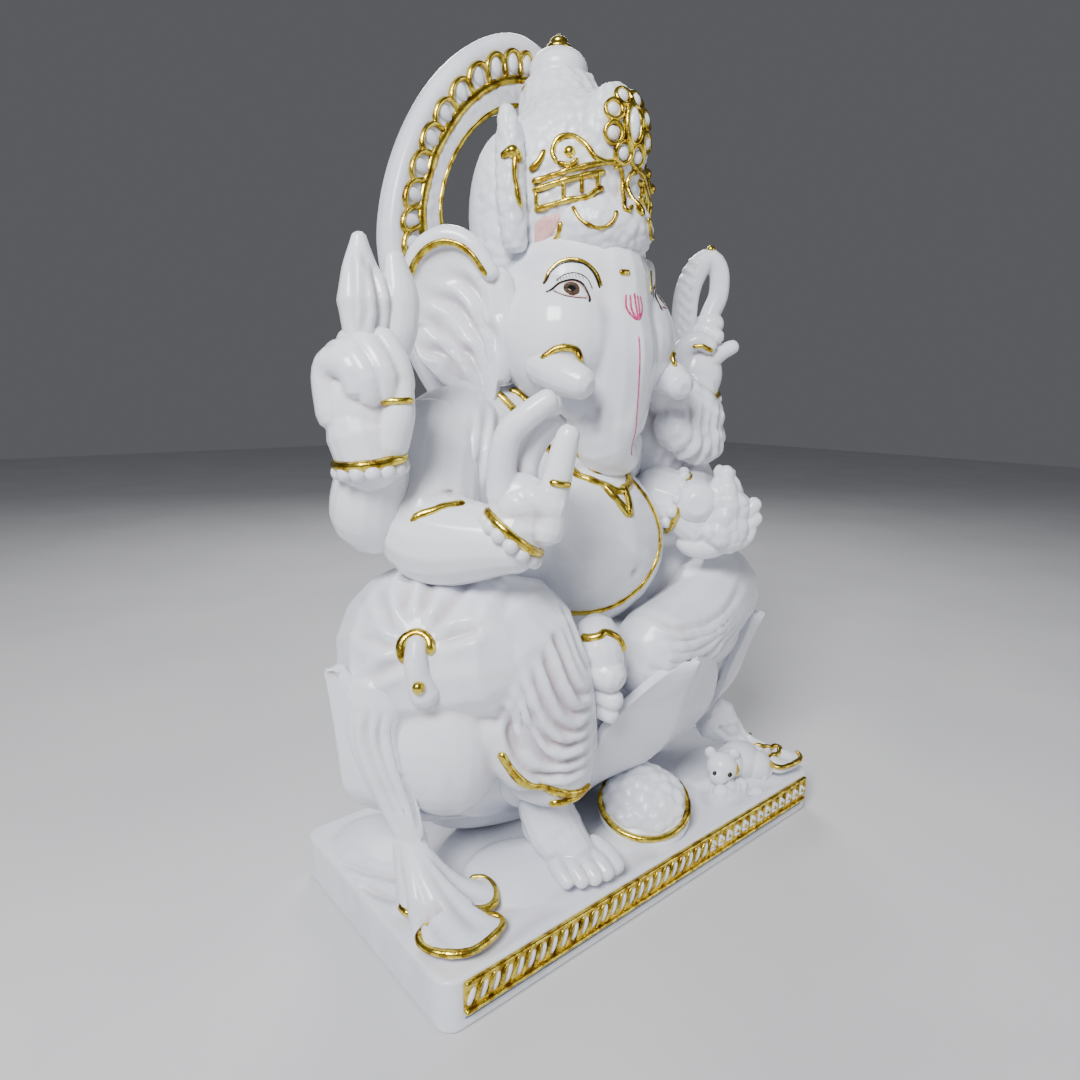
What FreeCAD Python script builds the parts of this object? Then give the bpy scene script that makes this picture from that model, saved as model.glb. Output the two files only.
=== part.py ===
"""A seated four-armed Ganesha idol in polished white marble with raised gilding.

The idol faces -Y, stands on +Z and has its origin at the middle of the plinth's underside.
"Right" and "left" are the figure's own: its right hand is on the -X side.

Every carved form is one named solid. A form that meets another is cut back to it, so the two
share a bonded face and never fill the same space.
"""

import FreeCAD
import Part
import math
import os

import Sketcher
from FreeCAD import Placement, Rotation, Vector

OUT = "parts"

# ---------------------------------------------------------------- driving dimensions, in mm
DIMENSIONS = {
    "plinth_width": 280.0,
    "plinth_depth": 145.0,
    "plinth_height": 25.0,
    "plinth_corner": 9.0,
    "frieze_bottom": 8.5,
    "frieze_height": 15.0,
    "frieze_depth": 1.6,
    "frieze_margin": 3.0,
    "frieze_leaf_count": 26.0,
    "frieze_leaf_width": 4.6,
    "frieze_leaf_height": 8.0,
    "moulding_groove_z": 5.0,
    "moulding_groove": 1.2,
    "seat_y": 12.0,
    "seat_foot_x": 98.0,
    "seat_foot_y": 26.0,
    "seat_waist_x": 126.0,
    "seat_waist_y": 38.0,
    "seat_waist_rise": 30.0,
    "seat_rim_x": 132.0,
    "seat_rim_y": 58.0,
    "seat_rise": 78.0,
    "petal_count": 8.0,
    "petal_width": 27.0,
    "petal_thick": 6.5,
    "petal_length": 40.0,
    "petal_z": 96.0,
    "petal_flare": 16.0,
    "halo_y": 60.0,
    "halo_thick": 16.0,
    "halo_centre_z": 352.0,
    "halo_outer_x": 88.0,
    "halo_outer_z": 105.0,
    "halo_inner_x": 55.0,
    "halo_inner_z": 66.0,
    "halo_foot_z": 268.0,
    "halo_stem_width": 56.0,
    "halo_stem_front": 42.0,
    "halo_stem_bottom": 222.0,
    "halo_stem_top": 290.0,
    "scallop_outer_x": 82.0,
    "scallop_outer_z": 96.0,
    "scallop_inner_x": 70.0,
    "scallop_inner_z": 83.0,
    "halo_line": 3.0,
    "gilding": 1.6,
    "ear_sweep": 49.0,
    "crown_y": 16.0,
    "crown_base_z": 346.0,
    "crown_height": 62.0,
    "crown_base_radius": 41.0,
    "crown_belly_radius": 42.0,
    "crown_top_radius": 33.0,
    "band_z": 362.0,
    "band_height": 13.0,
    "band_proud": 1.8,
    "dome_radius": 21.0,
    "dome_height": 31.0,
    "dome_y": 24.0,
    "finial_radius": 7.5,
    "finial_height": 8.0,
    "plate_x": 12.0,
    "plate_y": -42.0,
    "plate_z": 40.0,
    "plate_radius": 26.0,
    "plate_thick": 11.5,
    "plate_lean": 26.0,
    "plate_turn": -40.0,
    "plate_rim": 1.7,
    "sweets_rise": 11.0,
    "noose_x": 104.0,
    "noose_y": 8.0,
    "noose_z": 320.0,
    "noose_turn": -30.0,
    "noose_outer_x": 17.0,
    "noose_outer_z": 31.0,
    "noose_slot_x": 5.0,
    "noose_slot_z": 19.0,
    "noose_slot_rise": 3.0,
    "noose_thick": 12.0,
}

# Rounded forms: centre x, y, z, half-sizes x, y, z, and a lean in degrees about the Y axis.
BALLS = {
    "belly": (0, 10, 182, 54, 50, 50, 0),
    "chest": (0, 24, 228, 62, 36, 42, 0),
    "hips": (0, 24, 128, 86, 44, 36, 0),
    "skull": (0, 8, 310, 46, 42, 46, 0),
    "right_cheek": (-22, -2, 290, 30, 32, 34, 0),
    "left_cheek": (22, -2, 290, 30, 32, 34, 0),
    "right_ear": (-67, 27, 298, 27, 8, 46, -10),
    "left_ear": (67, 27, 298, 27, 8, 46, 10),
    "right_ribbon": (-44, 16, 384, 11, 9, 36, -8),
    "left_ribbon": (44, 16, 384, 11, 9, 36, 8),
    "upper_right_hand": (-136, -6, 262, 17, 15, 21, 0),
    "lower_right_hand": (-80, -54, 228, 17, 9, 30, 0),
    "upper_left_hand": (107, 8, 280, 14, 12, 20, 0),
    "lower_left_hand": (82, -38, 188, 26, 20, 13, 0),
    "sweets_in_hand": (80, -38, 212, 22, 19, 20, 0),
    "right_shawl": (-72, 14, 235, 33, 32, 44, 0),
    "left_shawl": (72, 14, 235, 30, 30, 40, 0),
    "right_sash": (-126, -26, 84, 9, 28, 64, 0),
    "left_sash": (128, -44, 28, 11, 28, 9, 0),
    "crown_flower": (0, -26, 386, 19, 6, 20, 0),
    "mouse_body": (97, -43, 33, 17, 13, 11, 0),
    "mouse_head": (77, -47, 35, 10, 10, 10, 0),
}

# Limbs: a row of balls, each x, y, z, radius, that a tapering skin is stretched over.
LIMBS = {
    "right_thigh": ((-58, 28, 128, 38), (-98, 10, 140, 42), (-88, -22, 146, 35)),
    "right_shin": ((-86, -24, 146, 33), (-68, -38, 108, 26), (-53, -32, 58, 17)),
    "right_foot": ((-53, -26, 40, 14), (-49, -46, 35, 12), (-46, -58, 32, 8)),
    "left_thigh": ((50, 30, 130, 40), (106, 6, 138, 37)),
    "left_shin": ((108, -8, 138, 33), (60, -34, 130, 25), (8, -40, 130, 18)),
    "left_foot": ((-8, -48, 132, 15), (-18, -54, 108, 10)),
    "upper_right_arm": ((-62, 27, 246, 22), (-118, 13, 210, 20), (-127, -4, 241, 14)),
    "lower_right_arm": ((-84, 18, 240, 24), (-114, -2, 202, 21), (-84, -44, 200, 13)),
    "upper_left_arm": ((60, 28, 248, 22), (90, 15, 232, 19), (101, 12, 238, 15), (105, 10, 262, 12)),
    "lower_left_arm": ((80, 18, 238, 23), (88, 0, 206, 20), (58, -32, 204, 13)),
    "trunk": ((0, -8, 300, 28), (0, -12, 270, 24), (0, -13, 240, 20), (4, -18, 226, 17),
              (22, -25, 223, 13), (36, -26, 232, 10)),
    "right_tusk": ((-24, -20, 272, 7), (-17, -42, 268, 5)),
    "left_tusk": ((24, -20, 272, 7), (17, -42, 268, 5)),
    "lotus_bud": ((-130, -8, 284, 8), (-131, -8, 300, 14), (-130, -8, 331, 4)),
}

# Gold rings: centre x, y, z, ring radius, section radius, and turns in degrees about X and Y.
RINGS = {
    "upper_right_bracelet": (-127, -4, 243, 15, 1.6, 0, 0),
    "lower_right_bracelet": (-84, -44, 204, 14, 1.6, 30, 0),
    "upper_left_bracelet": (105, 10, 262, 13, 1.6, 0, 0),
    "lower_left_bracelet": (59, -31, 204, 14, 1.6, 0, 75),
    "right_anklet": (-54, -33, 62, 18.5, 1.8, 0, 0),
    "left_anklet": (0, -42, 134, 18, 1.6, 0, 80),
    "collar": (0, 6, 232, 47, 2.2, -18, 0),
    "waist_cord": (0, 11, 158, 47, 2.0, -8, 0),
}

# Shares of the dome's and the finial's radius and height at which their outlines bend.
DOME_SHOULDER_OUT, DOME_SHOULDER_UP, DOME_TOP_OUT = 0.86, 0.55, 0.5
FINIAL_SHOULDER_OUT, FINIAL_SHOULDER_UP = 0.9, 0.6

doc = FreeCAD.newDocument("ganesha_idol")
sheet = doc.addObject("Spreadsheet::Sheet", "sizes")
next_row = [1]


def write_cell(alias, value):
    """Adds one named size to the sheet."""
    row = next_row[0]
    sheet.set(f"A{row}", alias)
    sheet.set(f"B{row}", str(value))
    sheet.setAlias(f"B{row}", alias)
    next_row[0] += 1


def size(alias):
    """Reads a named size back from the sheet."""
    return float(getattr(sheet, alias))


def fill_sheet():
    """Writes every driving dimension, ball, limb and ring to the sheet."""
    for alias, value in DIMENSIONS.items():
        write_cell(alias, value)
    for name, row in BALLS.items():
        for key, value in zip(("cx", "cy", "cz", "half_x", "half_y", "half_z", "lean"), row):
            write_cell(f"{name}_{key}", value)
    for name, chain in LIMBS.items():
        for number, ball in enumerate(chain):
            for key, value in zip(("cx", "cy", "cz", "ball"), ball):
                write_cell(f"{name}_{number}_{key}", value)
    for name, row in RINGS.items():
        for key, value in zip(("cx", "cy", "cz", "ring", "section", "turn_x", "turn_y"), row):
            write_cell(f"{name}_{key}", value)
    doc.recompute()


def bind_place(thing, name):
    """Binds an object's place to the three centre cells of a name."""
    for axis in "xyz":
        thing.setExpression(f"Placement.Base.{axis}", f"sizes.{name}_c{axis}")


def ball(name, label=None):
    """A bound Part::Ellipsoid: Radius1 runs along Z, Radius2 along X and Radius3 along Y."""
    thing = doc.addObject("Part::Ellipsoid", name)
    thing.Label = label or f"{name}_blank"
    thing.Placement = Placement(Vector(), Rotation(Vector(0, 1, 0), size(f"{name}_lean")))
    thing.setExpression("Radius1", f"sizes.{name}_half_z")
    thing.setExpression("Radius2", f"sizes.{name}_half_x")
    thing.setExpression("Radius3", f"sizes.{name}_half_y")
    bind_place(thing, name)
    return thing


def turned(thing, degrees):
    """The same object, turned about the upright axis."""
    thing.Placement = Placement(thing.Placement.Base, Rotation(Vector(0, 0, 1), degrees) * thing.Placement.Rotation)
    return thing


def ring(name, label):
    """A bound Part::Torus, for a gilded band round a limb."""
    thing = doc.addObject("Part::Torus", name)
    thing.Label = label
    turn = Rotation(Vector(0, 1, 0), size(f"{name}_turn_y")).multiply(
        Rotation(Vector(1, 0, 0), size(f"{name}_turn_x")))
    thing.Placement = Placement(Vector(), turn)
    thing.setExpression("Radius1", f"sizes.{name}_ring")
    thing.setExpression("Radius2", f"sizes.{name}_section")
    bind_place(thing, name)
    return thing


def tapered_link(start, start_radius, end, end_radius):
    """The skin stretched over two balls: two round ends and the cone that touches both."""
    along = end - start
    span = along.Length
    tilt = math.asin((start_radius - end_radius) / span)
    low = Vector(start_radius * math.cos(tilt), 0, start_radius * math.sin(tilt))
    high = Vector(end_radius * math.cos(tilt), 0, span + end_radius * math.sin(tilt))
    low_mid_turn = (tilt - math.pi / 2) / 2
    low_mid = Vector(start_radius * math.cos(low_mid_turn), 0, start_radius * math.sin(low_mid_turn))
    high_mid_turn = (tilt + math.pi / 2) / 2
    high_mid = Vector(end_radius * math.cos(high_mid_turn), 0, span + end_radius * math.sin(high_mid_turn))
    foot, top = Vector(0, 0, -start_radius), Vector(0, 0, span + end_radius)
    edges = [
        Part.Arc(foot, low_mid, low).toShape(),
        Part.LineSegment(low, high).toShape(),
        Part.Arc(high, high_mid, top).toShape(),
        Part.LineSegment(top, foot).toShape(),
    ]
    solid = Part.Face(Part.Wire(edges)).revolve(Vector(), Vector(0, 0, 1), 360)
    solid.Placement = Placement(start, Rotation(Vector(0, 0, 1), along))
    return solid


def limb(name):
    """A limb's blank: its tapered links fused. The balls' places and radii come from the sheet."""
    balls = []
    for number in range(len(LIMBS[name])):
        key = f"{name}_{number}"
        balls.append((Vector(size(f"{key}_cx"), size(f"{key}_cy"), size(f"{key}_cz")), size(f"{key}_ball")))
    links = [tapered_link(*a, *b) for a, b in zip(balls, balls[1:])]
    thing = doc.addObject("Part::Feature", name)
    thing.Shape = links[0].fuse(links[1:]).removeSplitter() if len(links) > 1 else links[0]
    thing.Label = f"{name}_blank"
    return thing


def fused(label, *things):
    """Several blanks joined into one form."""
    join = doc.addObject("Part::MultiFuse", label)
    join.Label = label
    join.Shapes = list(things)
    return join


def fitted(label, blank, *neighbours):
    """The blank cut back to each neighbour in turn, so that it meets them face to face."""
    current = blank
    for number, neighbour in enumerate(neighbours):
        cut = doc.addObject("Part::Cut", f"{label}_fit_{number}")
        cut.Base = current
        cut.Tool = neighbour
        cut.Label = f"{label}_fit_{number}"
        current = cut
    current.Label = label
    doc.recompute()
    return current


def plane_of(body, role):
    """One of a body's own origin planes."""
    return next(f for f in body.Origin.OriginFeatures if f.Role == role)


def new_body(label):
    """An empty PartDesign body."""
    body = doc.addObject("PartDesign::Body", label)
    body.Label = label
    return body


def new_sketch(body, name, role, offset=0.0, offset_expression=None):
    """A sketch on one of the body's origin planes, moved along the plane's normal."""
    sketch = body.newObject("Sketcher::SketchObject", name)
    sketch.AttachmentSupport = [(plane_of(body, role), "")]
    sketch.MapMode = "FlatFace"
    sketch.AttachmentOffset = Placement(Vector(0, 0, offset), Rotation())
    if offset_expression:
        sketch.setExpression("AttachmentOffset.Base.z", offset_expression)
    return sketch


def polygon(sketch, points):
    """A closed outline of straight lines through the points."""
    corners = [Vector(x, y, 0) for x, y in points]
    first = sketch.GeometryCount
    for a, b in zip(corners, corners[1:] + corners[:1]):
        sketch.addGeometry(Part.LineSegment(a, b), False)
    count = len(corners)
    for number in range(count):
        follower = first + (number + 1) % count
        sketch.addConstraint(Sketcher.Constraint("Coincident", first + number, 2, follower, 1))


def rectangle(sketch, width, height, centre_x=0.0, centre_y=0.0):
    """A rectangle round a centre."""
    w, h = width / 2, height / 2
    polygon(sketch, [(centre_x - w, centre_y - h), (centre_x + w, centre_y - h),
                     (centre_x + w, centre_y + h), (centre_x - w, centre_y + h)])


def ellipse(sketch, half_x, half_y, centre_y=0.0):
    """A whole ellipse, or a circle where the two halves are equal."""
    centre = Vector(0, centre_y, 0)
    if abs(half_x - half_y) < 1e-6:
        sketch.addGeometry(Part.Circle(centre, Vector(0, 0, 1), half_x), False)
    elif half_x > half_y:
        sketch.addGeometry(
            Part.Ellipse(centre + Vector(half_x, 0, 0), centre + Vector(0, half_y, 0), centre), False)
    else:
        sketch.addGeometry(
            Part.Ellipse(centre + Vector(0, half_y, 0), centre + Vector(-half_x, 0, 0), centre), False)


def plinth():
    """The slab: a pad with rounded upright corners, a recess for the frieze and a groove below it."""
    body = new_body("plinth")
    outline = new_sketch(body, "plinth_outline", "XY_Plane")
    rectangle(outline, size("plinth_width"), size("plinth_depth"))
    slab = body.newObject("PartDesign::Pad", "plinth_slab")
    slab.Profile = outline
    slab.setExpression("Length", "sizes.plinth_height")
    doc.recompute()
    upright = []
    for number, edge in enumerate(slab.Shape.Edges, 1):
        a, b = (vertex.Point for vertex in edge.Vertexes)
        if abs(a.z - b.z) > size("plinth_height") / 2:
            upright.append(f"Edge{number}")
    corners = body.newObject("PartDesign::Fillet", "plinth_corners")
    corners.Base = (slab, upright)
    corners.setExpression("Radius", "sizes.plinth_corner")
    doc.recompute()
    front = -size("plinth_depth") / 2
    recess = new_sketch(body, "frieze_recess_outline", "XY_Plane", size("frieze_bottom"), "sizes.frieze_bottom")
    rectangle(recess, frieze_length(), 2 * size("frieze_depth"), 0, front)
    pocket = body.newObject("PartDesign::Pocket", "frieze_recess")
    pocket.Profile = recess
    pocket.Reversed = True
    pocket.setExpression("Length", "sizes.frieze_height")
    groove = new_sketch(body, "moulding_outline", "XY_Plane", size("moulding_groove_z"), "sizes.moulding_groove_z")
    rectangle(groove, size("plinth_width"), 2 * size("moulding_groove"), 0, front)
    line = body.newObject("PartDesign::Pocket", "moulding_groove_cut")
    line.Profile = groove
    line.Reversed = True
    line.setExpression("Length", "sizes.moulding_groove")
    doc.recompute()
    return body


def frieze_length():
    """The frieze stops short of the plinth's rounded corners."""
    return size("plinth_width") - 2 * size("plinth_corner") - 2 * size("frieze_margin")


def plinth_frieze():
    """The gilded strip let into the plinth's front, pierced by a row of slanting leaves."""
    body = new_body("plinth_frieze")
    half_depth = size("plinth_depth") / 2
    length, height, bottom = frieze_length(), size("frieze_height"), size("frieze_bottom")
    outline = new_sketch(body, "frieze_outline", "XZ_Plane", half_depth - size("frieze_depth"))
    rectangle(outline, length, height, 0, bottom + height / 2)
    strip = body.newObject("PartDesign::Pad", "frieze_strip")
    strip.Profile = outline
    strip.setExpression("Length", "sizes.frieze_depth + sizes.gilding")
    doc.recompute()
    count = int(size("frieze_leaf_count"))
    pitch = length / count
    half_width, half_height = size("frieze_leaf_width") / 2, size("frieze_leaf_height") / 2
    middle = bottom + height / 2
    left = -length / 2 + pitch / 2
    leaf = new_sketch(body, "frieze_leaf_outline", "XZ_Plane", half_depth + size("gilding"))
    polygon(leaf, [(left - half_width, middle - half_height), (left + half_width / 4, middle - half_height / 2),
                   (left + half_width, middle + half_height), (left - half_width / 4, middle + half_height / 2)])
    cut = body.newObject("PartDesign::Pocket", "frieze_leaf")
    cut.Profile = leaf
    cut.setExpression("Length", "sizes.gilding")
    doc.recompute()
    row = body.newObject("PartDesign::LinearPattern", "frieze_leaves")
    row.Originals = [cut]
    row.Direction = (outline, ["H_Axis"])
    row.Length = length - pitch
    row.Occurrences = count
    body.Tip = row
    doc.recompute()
    return body


def lotus_seat():
    """The swelling drum under the figure: a loft through three ovals."""
    body = new_body("lotus_seat")
    sections = []
    for name, rise in (("foot", 0.0), ("waist", size("seat_waist_rise")), ("rim", size("seat_rise"))):
        level = size("plinth_height") + rise
        oval = new_sketch(body, f"seat_{name}", "XY_Plane", level)
        ellipse(oval, size(f"seat_{name}_x"), size(f"seat_{name}_y"), size("seat_y"))
        sections.append(oval)
    drum = body.newObject("PartDesign::AdditiveLoft", "seat_drum")
    drum.Profile = sections[0]
    drum.Sections = sections[1:]
    doc.recompute()
    return body


def lotus_petals(*neighbours):
    """A ring of leaning petals round the seat, each a flattened ball cut back to what it touches."""
    petals = []
    count = int(size("petal_count"))
    for number in range(count):
        turn = 360.0 * (number + 0.5) / count
        direction = Vector(math.cos(math.radians(turn)), math.sin(math.radians(turn)), 0)
        blank = doc.addObject("Part::Ellipsoid", f"petal_{number + 1}")
        blank.setExpression("Radius1", "sizes.petal_length")
        blank.setExpression("Radius2", "sizes.petal_thick")
        blank.setExpression("Radius3", "sizes.petal_width")
        place = Vector(direction.x * size("seat_rim_x"), direction.y * size("seat_rim_y") + size("seat_y"),
                       size("petal_z"))
        facing = Rotation(Vector(0, 0, 1), math.degrees(math.atan2(
            direction.y * size("seat_rim_x"), direction.x * size("seat_rim_y"))))
        lean = Rotation(Vector(0, 1, 0), size("petal_flare"))
        blank.Placement = Placement(place, facing.multiply(lean))
        blank.Label = f"petal_{number + 1}_blank"
        petals.append(fitted(f"lotus_petal_{number + 1}", blank, *neighbours, *petals[-1:], *petals[:1]
                             if number == count - 1 else ()))
    return petals


def revolved(label, points, axis_y, base_z):
    """A turned form: the outline runs from the axis at the foot to the axis at the top."""
    body = new_body(label)
    sketch = new_sketch(body, f"{label}_outline", "XZ_Plane")
    polygon(sketch, points)
    turned = body.newObject("PartDesign::Revolution", f"{label}_turned")
    turned.Profile = sketch
    turned.ReferenceAxis = (sketch, ["V_Axis"])
    turned.Angle = 360
    body.Placement = Placement(Vector(0, axis_y, base_z), Rotation())
    doc.recompute()
    return body


def crown_parts(head):
    """The crown, its gold band, its dome and its finial, all turned about upright axes."""
    height, base, middle, top = (size(key) for key in (
        "crown_height", "crown_base_radius", "crown_belly_radius", "crown_top_radius"))
    blank = revolved("crown_turning", [(0, 0), (base, 0), (middle, height / 2), (top, height), (0, height)],
                     size("crown_y"), size("crown_base_z"))
    band_z, band_height = size("band_z") - size("crown_base_z"), size("band_height")

    def wall(z):
        """The crown's radius at a height below its widest ring."""
        return base + (middle - base) * z / (height / 2)

    proud = size("band_proud")
    band = revolved("crown_band", [
        (wall(band_z), band_z), (wall(band_z) + proud, band_z),
        (wall(band_z + band_height) + proud, band_z + band_height), (wall(band_z + band_height), band_z + band_height)],
        size("crown_y"), size("crown_base_z"))
    crown = fitted("crown", blank, head, band)
    dome_radius, dome_height = size("dome_radius"), size("dome_height")
    dome = revolved("crown_dome", [
        (0, 0), (dome_radius, 0), (dome_radius * DOME_SHOULDER_OUT, dome_height * DOME_SHOULDER_UP),
        (dome_radius * DOME_TOP_OUT, dome_height), (0, dome_height)],
        size("dome_y"), size("crown_base_z") + height)
    radius, rise = size("finial_radius"), size("finial_height")
    finial = revolved("crown_finial", [
        (0, 0), (radius, 0), (radius * FINIAL_SHOULDER_OUT, rise * FINIAL_SHOULDER_UP), (0, rise)],
        size("dome_y"), size("crown_base_z") + height + dome_height)
    flower = fitted("crown_flower", ball("crown_flower"), crown, band)
    return crown, band, dome, finial, flower


def arch_ring(label, outer, inner, thick, front_y, foot_z):
    """An upright arch: the ring between two ovals, open below the foot level."""
    body = new_body(label)
    centre_z = size("halo_centre_z")
    sketch = new_sketch(body, f"{label}_outline", "XZ_Plane", -front_y)
    ellipse(sketch, *outer, centre_z)
    ellipse(sketch, *inner, centre_z)
    pad = body.newObject("PartDesign::Pad", f"{label}_pad")
    pad.Profile = sketch
    pad.Length = thick
    pad.Reversed = True
    doc.recompute()
    below = new_sketch(body, f"{label}_below", "XZ_Plane", -front_y)
    reach = 2 * outer[1]
    rectangle(below, 2 * outer[0] + 2, reach, 0, foot_z - reach / 2)
    trim = body.newObject("PartDesign::Pocket", f"{label}_trim")
    trim.Profile = below
    trim.Length = thick
    doc.recompute()
    return body


def halo_parts(*neighbours):
    """The arch behind the head, with the stem that seats it in the back, and its two gilded lines."""
    thick, gilding = size("halo_thick"), size("gilding")
    front = size("halo_y") - thick / 2
    ring_blank = arch_ring("halo_arch", (size("halo_outer_x"), size("halo_outer_z")),
                           (size("halo_inner_x"), size("halo_inner_z")), thick, front, size("halo_foot_z"))
    stem = doc.addObject("Part::Box", "halo_stem")
    stem.setExpression("Length", "sizes.halo_stem_width")
    stem.Width = size("halo_y") + thick / 2 - size("halo_stem_front")
    stem.setExpression("Height", "sizes.halo_stem_top - sizes.halo_stem_bottom")
    stem.Placement = Placement(
        Vector(-size("halo_stem_width") / 2, size("halo_stem_front"), size("halo_stem_bottom")), Rotation())
    halo = fitted("halo", fused("halo_blank", ring_blank, stem), *neighbours)
    band_foot = size("halo_centre_z") - size("scallop_inner_z") / 4
    scallops = arch_ring("halo_scallops", (size("scallop_outer_x"), size("scallop_outer_z")),
                         (size("scallop_inner_x"), size("scallop_inner_z")), gilding, front - gilding, band_foot)
    line = size("halo_line")
    inner_line = arch_ring("halo_inner_line", (size("halo_inner_x") + line, size("halo_inner_z") + line),
                           (size("halo_inner_x"), size("halo_inner_z")), gilding, front - gilding, band_foot)
    return halo, scallops, inner_line


def plate_parts(*neighbours):
    """The leaning plate, its gold rim and the heap of sweets on it."""
    centre = Vector(size("plate_x"), size("plate_y"), size("plate_z"))
    lean = Rotation(Vector(0, 0, 1), size("plate_turn")) * Rotation(Vector(1, 0, 0), size("plate_lean"))
    place = Placement(centre, lean)
    disc = doc.addObject("Part::Cylinder", "plate_disc")
    disc.setExpression("Radius", "sizes.plate_radius")
    disc.setExpression("Height", "sizes.plate_thick")
    disc.Placement = place.multiply(Placement(Vector(0, 0, -size("plate_thick")), Rotation()))
    rim = doc.addObject("Part::Torus", "plate_rim_ring")
    rim.setExpression("Radius1", "sizes.plate_radius")
    rim.setExpression("Radius2", "sizes.plate_rim")
    rim.Placement = place
    heap = doc.addObject("Part::Ellipsoid", "plate_heap")
    heap.setExpression("Radius1", "sizes.sweets_rise")
    heap.setExpression("Radius2", "sizes.plate_radius - 2 * sizes.plate_rim")
    heap.setExpression("Radius3", "sizes.plate_radius - 2 * sizes.plate_rim")
    heap.Placement = place
    heap.Label = "plate_heap"
    plate = fitted("sweets_plate", disc, rim, *neighbours)
    sweets = fitted("plate_sweets", heap, plate, *neighbours)
    gold = fitted("plate_rim", rim, *neighbours)
    return plate, gold, sweets


def noose():
    """The looped cord held up in one hand: a stretched ring, turned a little outwards."""
    body = new_body("noose_ring")
    sketch = new_sketch(body, "noose_outline", "XZ_Plane")
    ellipse(sketch, size("noose_outer_x"), size("noose_outer_z"))
    ellipse(sketch, size("noose_slot_x"), size("noose_slot_z"), size("noose_slot_rise"))
    pad = body.newObject("PartDesign::Pad", "noose_pad")
    pad.Profile = sketch
    pad.setExpression("Length", "sizes.noose_thick")
    pad.SideType = "Symmetric"
    body.Placement = Placement(Vector(), Rotation(Vector(0, 0, 1), size("noose_turn")))
    for axis in "xyz":
        body.setExpression(f"Placement.Base.{axis}", f"sizes.noose_{axis}")
    doc.recompute()
    return body


def build_figure():
    """Builds every sub-part in the order in which each is fitted to those before it."""
    base = plinth()
    frieze = plinth_frieze()
    seat = lotus_seat()
    torso = fused("torso", ball("belly"), ball("chest"))
    doc.recompute()
    hips = fitted("hips", ball("hips"), torso, seat)
    right_thigh = fitted("right_thigh", limb("right_thigh"), torso, hips, seat)
    left_thigh = fitted("left_thigh", limb("left_thigh"), torso, hips, seat)
    right_shin = fitted("right_shin", limb("right_shin"), right_thigh, seat, torso)
    left_shin = fitted("left_shin", limb("left_shin"), left_thigh, seat, torso, hips, right_shin, right_thigh)
    anklets = fused("anklets", ring("right_anklet", "right_anklet"), ring("left_anklet", "left_anklet"))
    right_foot = fitted("right_foot", limb("right_foot"), right_shin, seat, base)
    left_foot = fitted("left_foot", limb("left_foot"), left_shin, right_shin, seat, right_thigh, torso)
    gold_anklets = fitted("gold_anklets", anklets, right_shin, left_shin, right_foot, left_foot, seat,
                          right_thigh, torso, hips)
    skull = fused("skull_and_cheeks", ball("skull"), ball("right_cheek"), ball("left_cheek"))
    doc.recompute()
    head = fitted("head", skull, torso)
    trunk = fitted("trunk", limb("trunk"), head, torso)
    tusks = [fitted(name, limb(name), head, trunk) for name in ("right_tusk", "left_tusk")]
    halo, scallops, inner_line = halo_parts(torso, head)
    crown, band, dome, finial, flower = crown_parts(head)
    ribbons = [fitted(name, ball(name), head, crown, band) for name in ("right_ribbon", "left_ribbon")]
    sweep = size("ear_sweep")
    ears = [fitted(name, turned(ball(name), turn), head, halo, torso)
            for name, turn in (("right_ear", -sweep), ("left_ear", sweep))]
    pieces = [base, frieze, seat, torso, hips, right_thigh, left_thigh, right_shin, left_shin, gold_anklets,
              right_foot, left_foot, head, trunk, *tusks, halo, scallops, inner_line, crown, band, dome,
              finial, flower, *ribbons, *ears]
    pieces += build_arms(torso, head, ears, halo, (right_thigh, left_thigh), trunk, (right_shin, left_shin))
    pieces += build_dressing(base, seat, torso, head, trunk, hips, (right_thigh, left_thigh),
                             (right_shin, left_shin), (right_foot, left_foot), pieces)
    return pieces


def build_arms(torso, head, ears, halo, thighs, trunk, shins):
    """The four arms with their hands, what they hold, their bracelets and the shawl over them."""
    pieces = []
    arms, hands, shawls = {}, {}, []
    for side, ear, thigh, shin in (("right", ears[0], thighs[0], shins[0]), ("left", ears[1], thighs[1], shins[1])):
        lower = fitted(f"lower_{side}_arm", limb(f"lower_{side}_arm"), torso, head, thigh, shin, trunk)
        upper = fitted(f"upper_{side}_arm", limb(f"upper_{side}_arm"), torso, lower, halo, ear)
        lower_hand = fitted(f"lower_{side}_hand", ball(f"lower_{side}_hand"), lower, thigh, shin, torso, trunk)
        upper_hand = fitted(f"upper_{side}_hand", ball(f"upper_{side}_hand"), upper, ear)
        shawl = fitted(f"{side}_shawl", ball(f"{side}_shawl"), torso, head, lower, upper, ear, halo, trunk)
        arms[side] = (lower, upper)
        hands[side] = (lower_hand, upper_hand)
        shawls.append(shawl)
        pieces += [lower, upper, lower_hand, upper_hand, shawl]
    bud = fitted("lotus_bud", limb("lotus_bud"), hands["right"][1])
    loop = fitted("noose_loop", noose(), hands["left"][1])
    sweets = fitted("sweets_in_hand", ball("sweets_in_hand"), hands["left"][0], arms["left"][0], torso, trunk)
    rings = fused("bracelet_rings", *(ring(f"{level}_{side}_bracelet", f"{level}_{side}_bracelet_ring")
                                      for side in ("right", "left") for level in ("upper", "lower")))
    doc.recompute()
    bracelets = fitted("gold_bracelets", rings, *arms["right"], *arms["left"], *hands["right"], *hands["left"],
                       torso, sweets, *shawls)
    return [*pieces, bud, loop, sweets, bracelets]


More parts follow.
